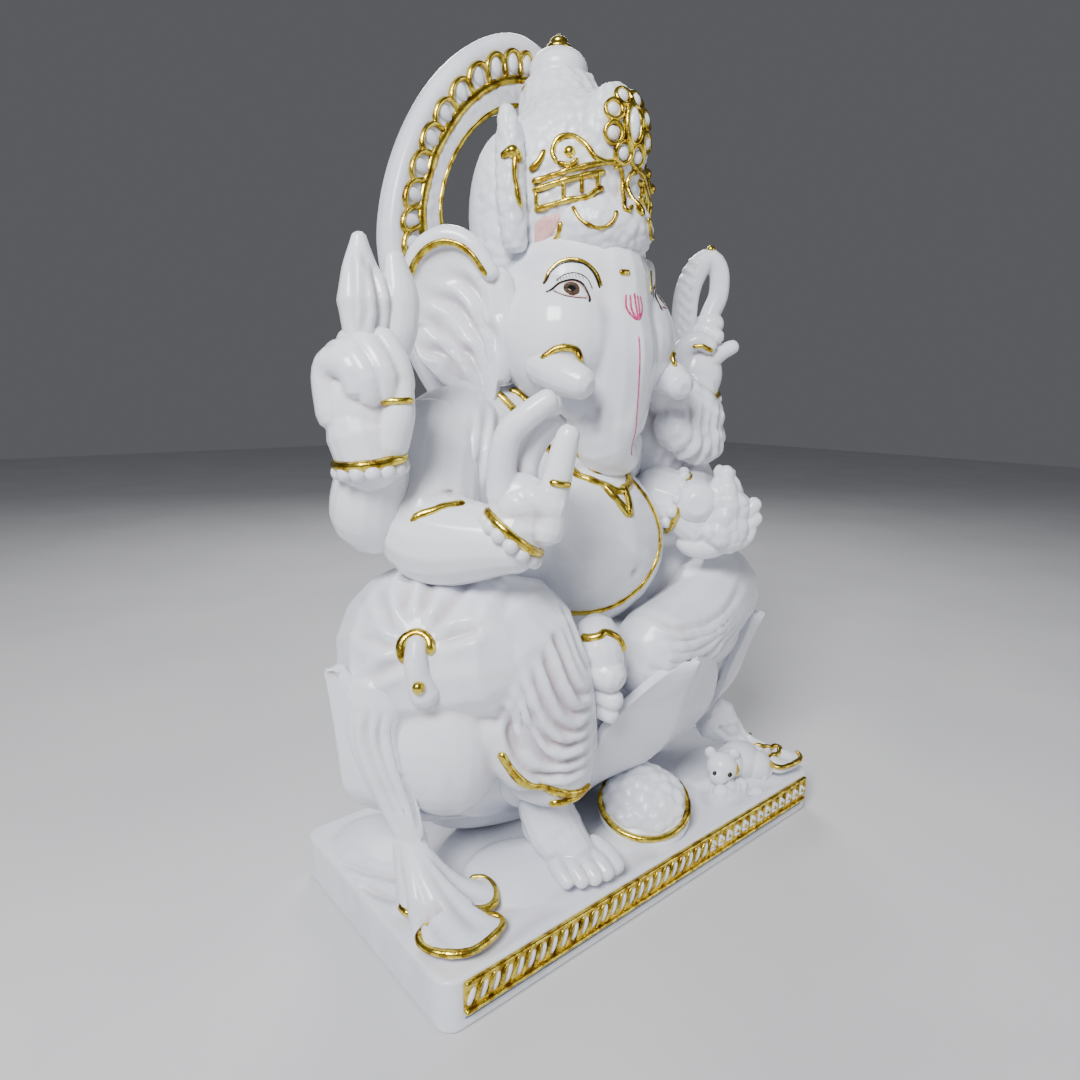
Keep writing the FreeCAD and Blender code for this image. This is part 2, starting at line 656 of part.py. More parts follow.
def build_dressing(base, seat, torso, head, trunk, hips, thighs, shins, feet, made):
    """Gold cords, sashes, petals, the plate and the mouse."""
    named = {piece.Label: piece for piece in made}
    limbs = [piece for label, piece in named.items() if label.endswith(("_arm", "_hand", "_shawl"))]
    collar = fitted("collar", ring("collar", "collar_ring"), torso, head, trunk, *limbs)
    cord = fitted("waist_cord", ring("waist_cord", "waist_cord_ring"), torso, hips, *thighs, *shins, *limbs)
    sashes = []
    for side, thigh, shin in (("right", thighs[0], shins[0]), ("left", thighs[1], shins[1])):
        sashes.append(fitted(f"{side}_sash", ball(f"{side}_sash"), thigh, shin, seat, base, hips,
                             named[f"upper_{side}_arm"], named[f"lower_{side}_arm"]))
    petals = lotus_petals(seat, base, hips, *thighs, *shins, *feet, *sashes)
    plate, rim, sweets = plate_parts(base, seat, *shins, *petals)
    body = fused("mouse_blank", ball("mouse_body"), ball("mouse_head"))
    doc.recompute()
    mouse = fitted("mouse", body, base, seat, *petals, sashes[1], plate, rim)
    return [collar, cord, *sashes, *petals, plate, rim, sweets, mouse]


def check_document():
    """Stops if any object of the document failed to recompute."""
    failed = [thing.Label for thing in doc.Objects if "Invalid" in thing.State or "Error" in thing.State]
    if failed:
        raise RuntimeError(f"these objects failed: {failed}")


def export(pieces):
    """Checks each sub-part's shape and writes it to a file of its own name."""
    os.makedirs(OUT, exist_ok=True)
    for piece in pieces:
        shape = piece.Shape
        if shape.isNull() or not shape.isValid() or shape.Volume <= 0:
            raise RuntimeError(f"{piece.Label} has no valid solid")
        print(f"{piece.Label:24s} solids {len(shape.Solids)} volume {shape.Volume:10.1f}")
        shape.exportStep(os.path.join(OUT, f"{piece.Label}.step"))


fill_sheet()
all_pieces = build_figure()
doc.recompute()
check_document()
export(all_pieces)
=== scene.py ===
"""The looks of a seated, four-armed Ganesha idol in gilded white marble.

Lengths are in millimetres in the part's own frame: the figure faces -Y, +X is its left and the
plinth's underside is at Z = 0. MM turns them to metres where a mesh is made. The carved forms are
lumps of clay pressed together into one skin, worked with grooves and dents, and then gilded with
raised lines that hug the skin.
"""

import logging
import math
import random
from collections.abc import Callable, Iterable, Iterator, Sequence
from contextlib import contextmanager
from dataclasses import dataclass, field
from enum import Enum

import bpy
import numpy as np
from mathutils import Euler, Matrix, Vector, noise
from mathutils.bvhtree import BVHTree


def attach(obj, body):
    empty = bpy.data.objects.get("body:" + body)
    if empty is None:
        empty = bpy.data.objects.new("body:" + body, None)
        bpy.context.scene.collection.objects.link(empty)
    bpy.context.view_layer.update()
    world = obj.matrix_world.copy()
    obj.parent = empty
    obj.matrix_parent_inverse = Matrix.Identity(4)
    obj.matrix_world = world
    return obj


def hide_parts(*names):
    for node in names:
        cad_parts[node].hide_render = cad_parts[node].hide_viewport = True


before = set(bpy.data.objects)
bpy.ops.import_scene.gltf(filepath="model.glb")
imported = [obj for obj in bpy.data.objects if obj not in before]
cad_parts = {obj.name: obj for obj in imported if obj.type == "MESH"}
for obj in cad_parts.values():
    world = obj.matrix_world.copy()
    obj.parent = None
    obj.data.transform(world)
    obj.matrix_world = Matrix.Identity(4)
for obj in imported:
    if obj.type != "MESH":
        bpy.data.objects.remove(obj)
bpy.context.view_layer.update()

MM = 0.001
BED = 24.2  # the height at which a form that stands on the plinth is cut off, just inside the slab
LOG = logging.getLogger("ganesha_idol")
Point = tuple[float, float, float]
Path = Sequence[Point]


# ------------------------------------------------------------------ materials


def linear(code: str) -> tuple[float, float, float, float]:
    """Turns an sRGB hex colour into linear red, green, blue and alpha."""
    values = [int(code[place:place + 2], 16) / 255 for place in (1, 3, 5)]
    turned = [v / 12.92 if v <= 0.04045 else ((v + 0.055) / 1.055) ** 2.4 for v in values]
    return (*turned, 1.0)


def add_node(tree: bpy.types.NodeTree, kind: str, settings: dict | None = None,
             links: dict | None = None) -> bpy.types.Node:
    """Adds one node to a material.

    Args:
        tree: the material's node tree.
        kind: the node's type.
        settings: attribute or input names with the values they get.
        links: input names with the output sockets that feed them.

    Returns:
        The new node.
    """
    node = tree.nodes.new(kind)
    for name, value in (settings or {}).items():
        if isinstance(name, str) and hasattr(node, name):
            setattr(node, name, value)
        else:
            node.inputs[name].default_value = value
    for name, socket in (links or {}).items():
        tree.links.new(socket, node.inputs[name])
    return node


def ramp(tree: bpy.types.NodeTree, source: bpy.types.NodeSocket,
         stops: Sequence[tuple[float, str]]) -> bpy.types.NodeSocket:
    """Colours a value by hex stops and returns the colour socket."""
    node = add_node(tree, "ShaderNodeValToRGB", links={"Fac": source})
    elements = node.color_ramp.elements
    while len(elements) < len(stops):
        elements.new(0.5)
    for element, (place, code) in zip(elements, stops):
        element.position = place
        element.color = linear(code)
    return node.outputs["Color"]


def per_mm(size_mm: float) -> float:
    """The texture scale that gives one feature per so many millimetres."""
    return 1.0 / (size_mm * MM)


def add_noise(tree: bpy.types.NodeTree, coordinates: bpy.types.NodeSocket, size_mm: float, detail: float,
              **settings: float) -> bpy.types.NodeSocket:
    """Adds a noise whose features are so many millimetres across, and returns its value."""
    return add_node(tree, "ShaderNodeTexNoise", {"Scale": per_mm(size_mm), "Detail": detail, **settings},
                    {"Vector": coordinates}).outputs["Fac"]


def add_bump(tree: bpy.types.NodeTree, height: bpy.types.NodeSocket, strength: float,
             depth_mm: float) -> bpy.types.NodeSocket:
    """Adds a bump of a depth in millimetres and returns its normal."""
    return add_node(tree, "ShaderNodeBump", {"Strength": strength, "Distance": depth_mm * MM},
                    {"Height": height}).outputs["Normal"]


def spread_over(tree: bpy.types.NodeTree, source: bpy.types.NodeSocket, low: float,
                high: float) -> bpy.types.NodeSocket:
    """Spreads a value from 0 to 1 over another range and returns it."""
    return add_node(tree, "ShaderNodeMapRange", {"To Min": low, "To Max": high},
                    {"Value": source}).outputs["Result"]


def start_material(name: str) -> tuple[bpy.types.Material, bpy.types.NodeTree, bpy.types.NodeSocket]:
    """Makes an empty node material and returns it with its tree and its object coordinates."""
    material = bpy.data.materials.new(name)
    material.use_nodes = True
    tree = material.node_tree
    tree.nodes.clear()
    coordinates = add_node(tree, "ShaderNodeTexCoord").outputs["Object"]
    return material, tree, coordinates


def close_material(tree: bpy.types.NodeTree, shader: bpy.types.Node) -> None:
    """Links the shader to the material's output."""
    add_node(tree, "ShaderNodeOutputMaterial", links={"Surface": shader.outputs["BSDF"]})


@dataclass(frozen=True)
class Marble:
    """Makrana-type white marble, rubbed down and wax-polished: bright, cool, a little see-through.

    Light goes a few millimetres in before it comes back, so edges glow; the hollows get a painted rosy shade.
    """

    name: str
    face: str = "#eceef5"
    vein: str = "#dfe2ec"
    # painted shade: the rosy colour mixed into creases and hollows
    painted_crease_shade: str = "#c3b2b8"
    roughness: float = 0.17
    vein_mm: float = 70.0
    polish_mm: float = 25.0
    grain_mm: float = 1.6
    tooling: float = 0.05
    glow_mm: float = 3.0

    def make(self) -> bpy.types.Material:
        """Builds the material: veins, a painted rosy shade in the hollows, a fine polish and a shallow glow."""
        material, tree, coordinates = start_material(self.name)
        veins = add_noise(tree, coordinates, self.vein_mm, 6.0, Roughness=0.6, Distortion=1.4)
        body = ramp(tree, veins, ((0.42, self.vein), (0.52, self.face), (1.0, self.face)))
        # the crease mask mixes the painted rosy shade into the marble's colour
        painted_crease_shade = add_node(tree, "ShaderNodeAttribute", {"attribute_name": "painted_crease_shade"})
        shade = add_node(tree, "ShaderNodeMix", {"data_type": "RGBA", 7: linear(self.painted_crease_shade)},
                         {0: painted_crease_shade.outputs["Fac"], 6: body})
        polish = add_noise(tree, coordinates, self.polish_mm, 3.0)
        rough = spread_over(tree, polish, self.roughness - 0.03, self.roughness + 0.07)
        bump = add_bump(tree, add_noise(tree, coordinates, self.grain_mm, 3.0), self.tooling, 0.4)
        shader = add_node(
            tree, "ShaderNodeBsdfPrincipled",
            {"IOR": 1.486, "Subsurface Weight": 0.22, "Subsurface Scale": self.glow_mm * MM,
             "Subsurface Radius": (1.0, 0.82, 0.78)},
            {"Base Color": shade.outputs[2], "Roughness": rough, "Normal": bump})
        close_material(tree, shader)
        return material


@dataclass(frozen=True)
class GoldLeaf:
    """Gold leaf laid over a raised size line: bright on its crests, brown where the size shows."""

    name: str
    bright: str = "#ead257"
    deep: str = "#ab8a26"
    worn: str = "#644515"
    roughness: float = 0.2
    patch_mm: float = 5.0
    brush_mm: float = 1.1

    def make(self) -> bpy.types.Material:
        """Builds the material: burnished leaf with worn patches and the brush's ripple."""
        material, tree, coordinates = start_material(self.name)
        patches = add_noise(tree, coordinates, self.patch_mm, 4.0, Roughness=0.65)
        colour = ramp(tree, patches,
                      ((0.3, self.worn), (0.42, self.deep), (0.55, self.bright), (1.0, self.bright)))
        rough = spread_over(tree, patches, self.roughness + 0.14, self.roughness - 0.04)
        bump = add_bump(tree, add_noise(tree, coordinates, self.brush_mm, 3.0), 0.35, 0.35)
        shader = add_node(tree, "ShaderNodeBsdfPrincipled", {"Metallic": 1.0},
                          {"Base Color": colour, "Roughness": rough, "Normal": bump})
        close_material(tree, shader)
        return material


@dataclass(frozen=True)
class Enamel:
    """Hobby enamel brushed on by hand: thin, glossy and a little uneven in depth."""

    name: str
    colour: str
    thin: str
    roughness: float = 0.22
    stroke_mm: float = 1.4

    def make(self) -> bpy.types.Material:
        """Builds the material: one colour that thins where the brush lifted."""
        material, tree, coordinates = start_material(self.name)
        strokes = add_noise(tree, coordinates, self.stroke_mm, 2.0)
        colour = ramp(tree, strokes, ((0.35, self.colour), (0.75, self.thin)))
        shader = add_node(tree, "ShaderNodeBsdfPrincipled", {"Roughness": self.roughness, "IOR": 1.5},
                          {"Base Color": colour, "Normal": add_bump(tree, strokes, 0.1, 0.1)})
        close_material(tree, shader)
        return material


class Finish(Enum):
    """The finishes on the idol, each with the record's slot that it belongs to."""

    POLISHED = (Marble("polished_white_marble"), "polished_marble")
    CARVED = (Marble("honed_white_marble", face="#e9ebf3", roughness=0.24, tooling=0.09), "carved_marble")
    PITTED = (Marble("point_tooled_marble", face="#e6e9f1", roughness=0.3, tooling=0.3, grain_mm=1.9),
              "pitted_marble")
    GOLD = (GoldLeaf("burnished_gold_leaf"), "gold_leaf")
    BLACK = (Enamel("black_enamel", "#0c0a0b", "#2a2224"), "polished_marble")
    BROWN = (Enamel("brown_enamel", "#38291f", "#65503f", 0.15), "polished_marble")
    MAGENTA = (Enamel("magenta_enamel", "#b81f62", "#e06a9c"), "polished_marble")
    ROSE = (Enamel("rose_wash", "#d9a3a0", "#e6bfbc", 0.3), "polished_marble")
    # painted shade: the blue-grey line that stands for the shadow in the plinth's groove
    GREY = (Enamel("blue_grey_groove_shade", "#5f6f86", "#8b99ad", 0.35), "carved_marble")

    def material(self) -> bpy.types.Material:
        """The finish's material, made the first time it is asked for."""
        recipe = self.value[0]
        return bpy.data.materials.get(recipe.name) or recipe.make()

    @property
    def slot(self) -> str:
        """The record's material slot."""
        return self.value[1]


# ------------------------------------------------------------------ making pieces


def only(*pieces: bpy.types.Object) -> None:
    """Selects these objects and nothing else, the last one active."""
    bpy.ops.object.select_all(action="DESELECT")
    for piece in pieces:
        piece.select_set(True)
    bpy.context.view_layer.objects.active = pieces[-1]


@contextmanager
def editing(piece: bpy.types.Object) -> Iterator[None]:
    """Opens an object's mesh for editing with all of it selected, and closes it again."""
    only(piece)
    bpy.ops.object.mode_set(mode="EDIT")
    bpy.ops.mesh.select_all(action="SELECT")
    yield
    bpy.ops.object.mode_set(mode="OBJECT")


def apply_modifier(piece: bpy.types.Object, kind: str, **settings: object) -> None:
    """Adds a modifier with these settings and applies it."""
    only(piece)
    modifier = piece.modifiers.new(kind.title(), kind)
    for name, value in settings.items():
        setattr(modifier, name, value)
    bpy.ops.object.modifier_apply(modifier=modifier.name)


def settle(piece: bpy.types.Object) -> bpy.types.Object:
    """Moves an object's place, turn and scale into its mesh."""
    only(piece)
    bpy.ops.object.transform_apply(location=True, rotation=True, scale=True)
    return piece


def egg(centre: Point, radii: Point | float, turn: Point, segments: int, rings: int) -> bpy.types.Object:
    """Makes an egg-shaped ball, sized in millimetres and turned by degrees about X, Y and Z."""
    sizes = (radii,) * 3 if isinstance(radii, (int, float)) else radii
    bpy.ops.mesh.primitive_uv_sphere_add(
        segments=segments, ring_count=rings, radius=MM, location=[value * MM for value in centre],
        rotation=[math.radians(value) for value in turn], scale=sizes)
    return settle(bpy.context.active_object)


def place(piece: bpy.types.Object, finish: Finish, replaces: Iterable[str] = ()) -> bpy.types.Object:
    """Finishes a piece: its material, its body and the solids it stands for.

    Args:
        piece: the finished mesh object.
        finish: the finish of its whole surface.
        replaces: CAD nodes that the piece stands for.

    Returns:
        The same object.
    """
    piece.data.materials.clear()
    piece.data.materials.append(finish.material())
    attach(piece, "root")
    names = list(replaces)
    if names:
        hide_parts(*names)
    LOG.info("%s: %d faces", piece.name, len(piece.data.polygons))
    return piece


def mesh_piece(name: str, points_mm: np.ndarray, faces: Sequence[Sequence[int]]) -> bpy.types.Object:
    """Makes an object from points in millimetres and faces, with its normals outwards."""
    mesh = bpy.data.meshes.new(name)
    mesh.from_pydata((np.asarray(points_mm) * MM).tolist(), [], [list(face) for face in faces])
    piece = bpy.data.objects.new(name, mesh)
    bpy.context.scene.collection.objects.link(piece)
    with editing(piece):
        bpy.ops.mesh.normals_make_consistent(inside=False)
    bpy.ops.object.shade_smooth()
    return piece


def join(name: str, pieces: Sequence[bpy.types.Object]) -> bpy.types.Object:
    """Joins objects into one of this name."""
    only(*pieces)
    if len(pieces) > 1:
        bpy.ops.object.join()
    piece = bpy.context.view_layer.objects.active
    piece.name = name
    piece.data.name = name
    return piece


def smooth_path(points: Path, spacing: float = 1.5, closed: bool = False) -> np.ndarray:
    """Runs a Catmull-Rom curve through points and samples it evenly.

    Args:
        points: the points it passes through, in millimetres.
        spacing: the distance between samples.
        closed: whether the curve returns to its first point.

    Returns:
        The samples, one row each.
    """
    knots = np.asarray(points, dtype=float)
    count = len(knots)
    if closed:
        knots = np.vstack([knots[-1], knots, knots[0], knots[1]])
        spans = count
    else:
        knots = np.vstack([2 * knots[0] - knots[1], knots, 2 * knots[-1] - knots[-2]])
        spans = count - 1
    along = np.linspace(0, 1, 17)[:-1, None]
    dense = []
    for span in range(spans):
        a, b, c, d = knots[span:span + 4]
        dense.append(0.5 * (2 * b + (c - a) * along + (2 * a - 5 * b + 4 * c - d) * along ** 2
                            + (3 * b - a - 3 * c + d) * along ** 3))
    dense.append(knots[-2][None] if not closed else dense[0][:1])
    line = np.vstack(dense)
    steps = np.r_[0, np.cumsum(np.linalg.norm(np.diff(line, axis=0), axis=1))]
    wanted = np.linspace(0, steps[-1], max(3, int(round(steps[-1] / spacing)) + 1))
    even = np.stack([np.interp(wanted, steps, line[:, axis]) for axis in range(3)], axis=1)
    return even[:-1] if closed else even


def unit(rows: np.ndarray) -> np.ndarray:
    """Each row at length one."""
    return rows / np.maximum(np.linalg.norm(rows, axis=-1, keepdims=True), 1e-9)


def ring_faces(rings: int, sides: int, closed: bool, capped: bool = True) -> list[list[int]]:
    """The faces of a tube of rings, closed on itself or capped at both ends."""
    faces = []
    for ring in range(rings if closed else rings - 1):
        start, follow = ring * sides, (ring + 1) % rings * sides
        for side in range(sides):
            beside = (side + 1) % sides
            faces.append([start + side, start + beside, follow + beside, follow + side])
    if not closed and capped:
        faces.append(list(range(sides))[::-1])
        faces.append([(rings - 1) * sides + side for side in range(sides)])
    return faces


class Skin:
    """The outer surface of some pieces, for laying lines on."""

    def __init__(self, *pieces: bpy.types.Object) -> None:
        """Gathers the pieces' faces into one search tree, in millimetres."""
        points: list = []
        faces: list = []
        for piece in pieces:
            base = len(points)
            points += [vertex.co / MM for vertex in piece.data.vertices]
            faces += [[base + index for index in face.vertices] for face in piece.data.polygons]
        self.tree = BVHTree.FromPolygons(points, faces)

    def nearest(self, rows: np.ndarray) -> tuple[np.ndarray, np.ndarray]:
        """The nearest surface point to each row, and the normal there."""
        found = [self.tree.find_nearest(Vector(row))[:2] for row in rows]
        return (np.array([tuple(hit) for hit, _ in found]), np.array([tuple(normal) for _, normal in found]))


class Carving:
    """A fused skin that is worked by pressing its points along their normals."""

    def __init__(self, piece: bpy.types.Object) -> None:
        """Takes a piece and reads its points and normals."""
        self.piece = piece
        self.read()

    def read(self) -> None:
        """Reads the points, in millimetres, and the normals."""
        mesh = self.piece.data
        count = len(mesh.vertices)
        flat = np.empty(count * 3, dtype=np.float32)
        mesh.vertices.foreach_get("co", flat)
        self.points = flat.reshape(count, 3).astype(float) / MM
        mesh.vertices.foreach_get("normal", flat)
        self.normals = flat.reshape(count, 3).astype(float)

    def move(self, offsets: np.ndarray) -> "Carving":
        """Moves every point by its offset along its normal, in millimetres."""
        self.points = self.points + self.normals * offsets[:, None]
        mesh = self.piece.data
        mesh.vertices.foreach_set("co", (self.points * MM).astype(np.float32).ravel())
        mesh.update()
        self.read()
        return self

    def groove(self, path: Path, width: float = 2.0, depth: float = 1.2, lip: float = 0.3,
               fade: float = 0.25, towards: Point | None = None) -> "Carving":
        """Cuts a groove along a path, or raises a ridge where the depth is negative.

        Args:
            path: points near the surface.
            width: how far from its middle the groove falls to a third of its depth.
            depth: how deep it is.
            lip: how high its shoulders stand, as a share of the depth.
            fade: the share of its length over which each end dies away.
            towards: the viewer's direction, along which the path is dropped on the surface; without it
                each point goes to the nearest place.

        Returns:
            This carving.
        """
        line, facing = self.lay(smooth_path(path, max(0.8, width / 2)), towards)
        for _ in range(6):
            line[1:-1] = (line[:-2] + 2 * line[1:-1] + line[2:]) / 4
        reach = 4.5 * width
        low, high = line.min(axis=0) - reach, line.max(axis=0) + reach
        near = np.flatnonzero(np.all((self.points > low) & (self.points < high), axis=1))
        if not len(near):
            return self
        gaps = np.linalg.norm(self.points[near, None, :] - line[None, :, :], axis=2)
        closest = gaps.argmin(axis=1)
        gap = gaps[np.arange(len(near)), closest]
        share = closest / max(1, len(line) - 1)
        ends = np.clip(np.minimum(share, 1 - share) / max(fade, 1e-6), 0, 1)
        ends = ends * ends * (3 - 2 * ends)
        shape = -np.exp(-(gap / width) ** 2) + lip * np.exp(-((gap - 2.1 * width) / width) ** 2)
        agree = np.einsum("ij,ij->i", self.normals[near], facing[closest])
        shape = shape * np.clip((agree + 0.1) * 2, 0, 1)
        offsets = np.zeros(len(self.points))
        offsets[near] = depth * shape * ends
        return self.move(offsets)

    def lay(self, line: np.ndarray, towards: Point | None = None) -> tuple[np.ndarray, np.ndarray]:
        """Moves each row of a line on to the carving, with the normal there.

        Args:
            line: the rows, in millimetres.
            towards: the direction in which the surface is looked for; without it the nearest point is taken.

        Returns:
            The rows on the surface and its normals there.
        """
        reach = 25 if towards is None else 60
        low, high = line.min(axis=0) - reach, line.max(axis=0) + reach
        near = np.flatnonzero(np.all((self.points > low) & (self.points < high), axis=1))
        gaps = self.points[near][None, :, :] - line[:, None, :]
        if towards is None:
            found = near[(gaps ** 2).sum(axis=2).argmin(axis=1)]
        else:
            along = gaps @ np.array(towards, float)
            beside = (gaps ** 2).sum(axis=2) - along ** 2
            found = near[np.where(beside < 4.0, along, -1000 - beside).argmax(axis=1)]
        return self.points[found].copy(), self.normals[found].copy()

    def dent(self, centre: Point, radius: float, depth: float) -> "Carving":
        """Presses a round dent, or a bump where the depth is negative."""
        gap = np.linalg.norm(self.points - np.array(centre), axis=1)
        return self.move(-depth * np.exp(-(gap / radius) ** 2))

    def stipple(self, pitch: float, height: float, inside: Callable[[np.ndarray], np.ndarray] | None = None,
                round_tops: bool = True) -> "Carving":
        """Roughens the surface with point-tool marks.

        Args:
            pitch: the distance between marks.
            height: how far they stand.
            inside: gives each point's share of the effect, from 0 to 1.
            round_tops: rounded beads rather than soft waves.

        Returns:
            This carving.
        """
        share = np.ones(len(self.points)) if inside is None else inside(self.points)
        offsets = np.zeros(len(self.points))
        for index in np.flatnonzero(share > 0.01):
            spot = Vector(self.points[index] / pitch)
            if round_tops:
                near = noise.voronoi(spot)[0][0]
                offsets[index] = height * share[index] * (0.55 - near)
            else:
                offsets[index] = height * share[index] * noise.noise(spot)
        return self.move(offsets)

    def paint_crease_shade(self, strength: float = 1.0) -> "Carving":
        """Stores how sunk each point is, from 0 to 1, as the mask for the painted rosy shade in creases."""
        mesh = self.piece.data
        pairs = np.empty(len(mesh.edges) * 2, dtype=np.int32)
        mesh.edges.foreach_get("vertices", pairs)
        pairs = pairs.reshape(-1, 2)
        count = len(self.points)
        degree = np.maximum(np.bincount(pairs.ravel(), minlength=count), 1)[:, None]

        def spread(values: np.ndarray) -> np.ndarray:
            """The mean of each point's neighbours."""
            total = np.zeros_like(values)
            np.add.at(total, pairs[:, 0], values[pairs[:, 1]])
            np.add.at(total, pairs[:, 1], values[pairs[:, 0]])
            return total / degree

        blurred = self.points
        for _ in range(5):
            blurred = spread(blurred)
        sunk = np.einsum("ij,ij->i", blurred - self.points, self.normals)[:, None]
        for _ in range(2):
            sunk = spread(sunk)
        amount = np.clip(sunk[:, 0] * strength * 1.1, 0, 0.85).astype(np.float32)
        layer = mesh.attributes.get("painted_crease_shade") or mesh.attributes.new("painted_crease_shade", "FLOAT", "POINT")
        layer.data.foreach_set("value", amount)
        return self

    def finish(self, finish: Finish, replaces: Iterable[str] = (), crease_shade_strength: float = 1.0) -> bpy.types.Object:
        """Paints rosy shade into the hollows, finishes the piece and returns it."""
        return place(self.paint_crease_shade(crease_shade_strength).piece, finish, replaces)


def melt(piece: bpy.types.Object, voxel: float, blend: int, floor: float | None = None) -> Carving:
    """Melts closed meshes into one skin.

    Args:
        piece: the object that holds them.
        voxel: the new skin's grain.
        blend: rounds of smoothing that fill the joints.
        floor: a height below which everything is cut off flat.

    Returns:
        The carving, ready for its grooves.
    """
    piece.data.remesh_voxel_size = voxel * MM
    only(piece)
    bpy.ops.object.voxel_remesh()
    if floor is not None:
        with editing(piece):
            bpy.ops.mesh.bisect(plane_co=(0, 0, floor * MM), plane_no=(0, 0, 1), use_fill=True, clear_inner=True)
    apply_modifier(piece, "SMOOTH", factor=0.5, iterations=blend)
    bpy.ops.object.shade_smooth()
    return Carving(piece)


@dataclass
class Clay:
    """Closed lumps, pressed together and then remeshed into one skin."""

    name: str
    voxel: float = 1.2
    lumps: list[bpy.types.Object] = field(default_factory=list)

    def ball(self, centre: Point, radii: Point | float, turn: Point = (0.0, 0.0, 0.0)) -> "Clay":
        """Adds an egg-shaped lump, turned by degrees about X, Y and Z."""
        self.lumps.append(egg(centre, radii, turn, 28, 16))
        return self

    def block(self, centre: Point, sizes: Point, turn: Point = (0.0, 0.0, 0.0), soft: float = 2.0) -> "Clay":
        """Adds a box with bevelled edges."""
        bpy.ops.mesh.primitive_cube_add(size=MM, location=[value * MM for value in centre],
                                        rotation=[math.radians(value) for value in turn], scale=sizes)
        piece = settle(bpy.context.active_object)
        apply_modifier(piece, "BEVEL", width=soft * MM, segments=3)
        self.lumps.append(piece)
        return self

    def limb(self, points: Path, radii: Sequence[float], flat: float = 1.0,
             flat_axis: Point = (0.0, 0.0, 1.0)) -> "Clay":
        """Adds a round limb whose radius changes smoothly from point to point.

        Args:
            points: the limb's middle line.
            radii: the radius at each point.
            flat: the thickness along flat_axis as a share of the radius.
            flat_axis: the direction in which it is flattened.

        Returns:
            This clay.
        """
        line = smooth_path(points, 3.0)
        knots = np.r_[0, np.cumsum(np.linalg.norm(np.diff(np.asarray(points, float), axis=0), axis=1))]
        along = np.r_[0, np.cumsum(np.linalg.norm(np.diff(line, axis=0), axis=1))]
        thick = np.interp(along / along[-1], knots / knots[-1], radii)
        tangents = unit(np.gradient(line, axis=0))
        ups = np.zeros_like(line)
        carried = np.array(flat_axis, float)
        if abs(carried @ tangents[0]) > 0.9:
            carried = np.array([0.0, 1.0, 0.0]) if abs(tangents[0][1]) < 0.7 else np.array([1.0, 0.0, 0.0])
        for row, tangent in enumerate(tangents):
            carried = unit(carried - (carried @ tangent) * tangent)
            ups[row] = carried
        sides = np.cross(tangents, ups)
        start, end = line[:1] - tangents[:1] * thick[0] * 0.85, line[-1:] + tangents[-1:] * thick[-1] * 0.85
        line = np.vstack([start, line[:1] - tangents[:1] * thick[0] * 0.5, line,
                          line[-1:] + tangents[-1:] * thick[-1] * 0.5, end])
        thick = np.r_[thick[0] * 0.45, thick[0] * 0.87, thick, thick[-1] * 0.87, thick[-1] * 0.45]
        sides = np.vstack([sides[:1], sides[:1], sides, sides[-1:], sides[-1:]])
        ups = np.vstack([ups[:1], ups[:1], ups, ups[-1:], ups[-1:]])
        count = 16
        angles = np.arange(count) * 2 * math.pi / count
        rings = (line[:, None, :] + thick[:, None, None] * (
            np.cos(angles)[None, :, None] * sides[:, None, :]
            + flat * np.sin(angles)[None, :, None] * ups[:, None, :]))
        self.lumps.append(mesh_piece("lump", rings.reshape(-1, 3), ring_faces(len(line), count, False)))
        return self

    def take(self, piece: bpy.types.Object) -> "Clay":
        """Adds a closed mesh made elsewhere."""
        self.lumps.append(piece)
        return self

    def fuse(self, blend: int = 8, floor: float | None = None) -> Carving:
        """Presses the lumps into one skin, cut off flat below the floor's height if one is given."""
        return melt(join(self.name, self.lumps), self.voxel, blend, floor)


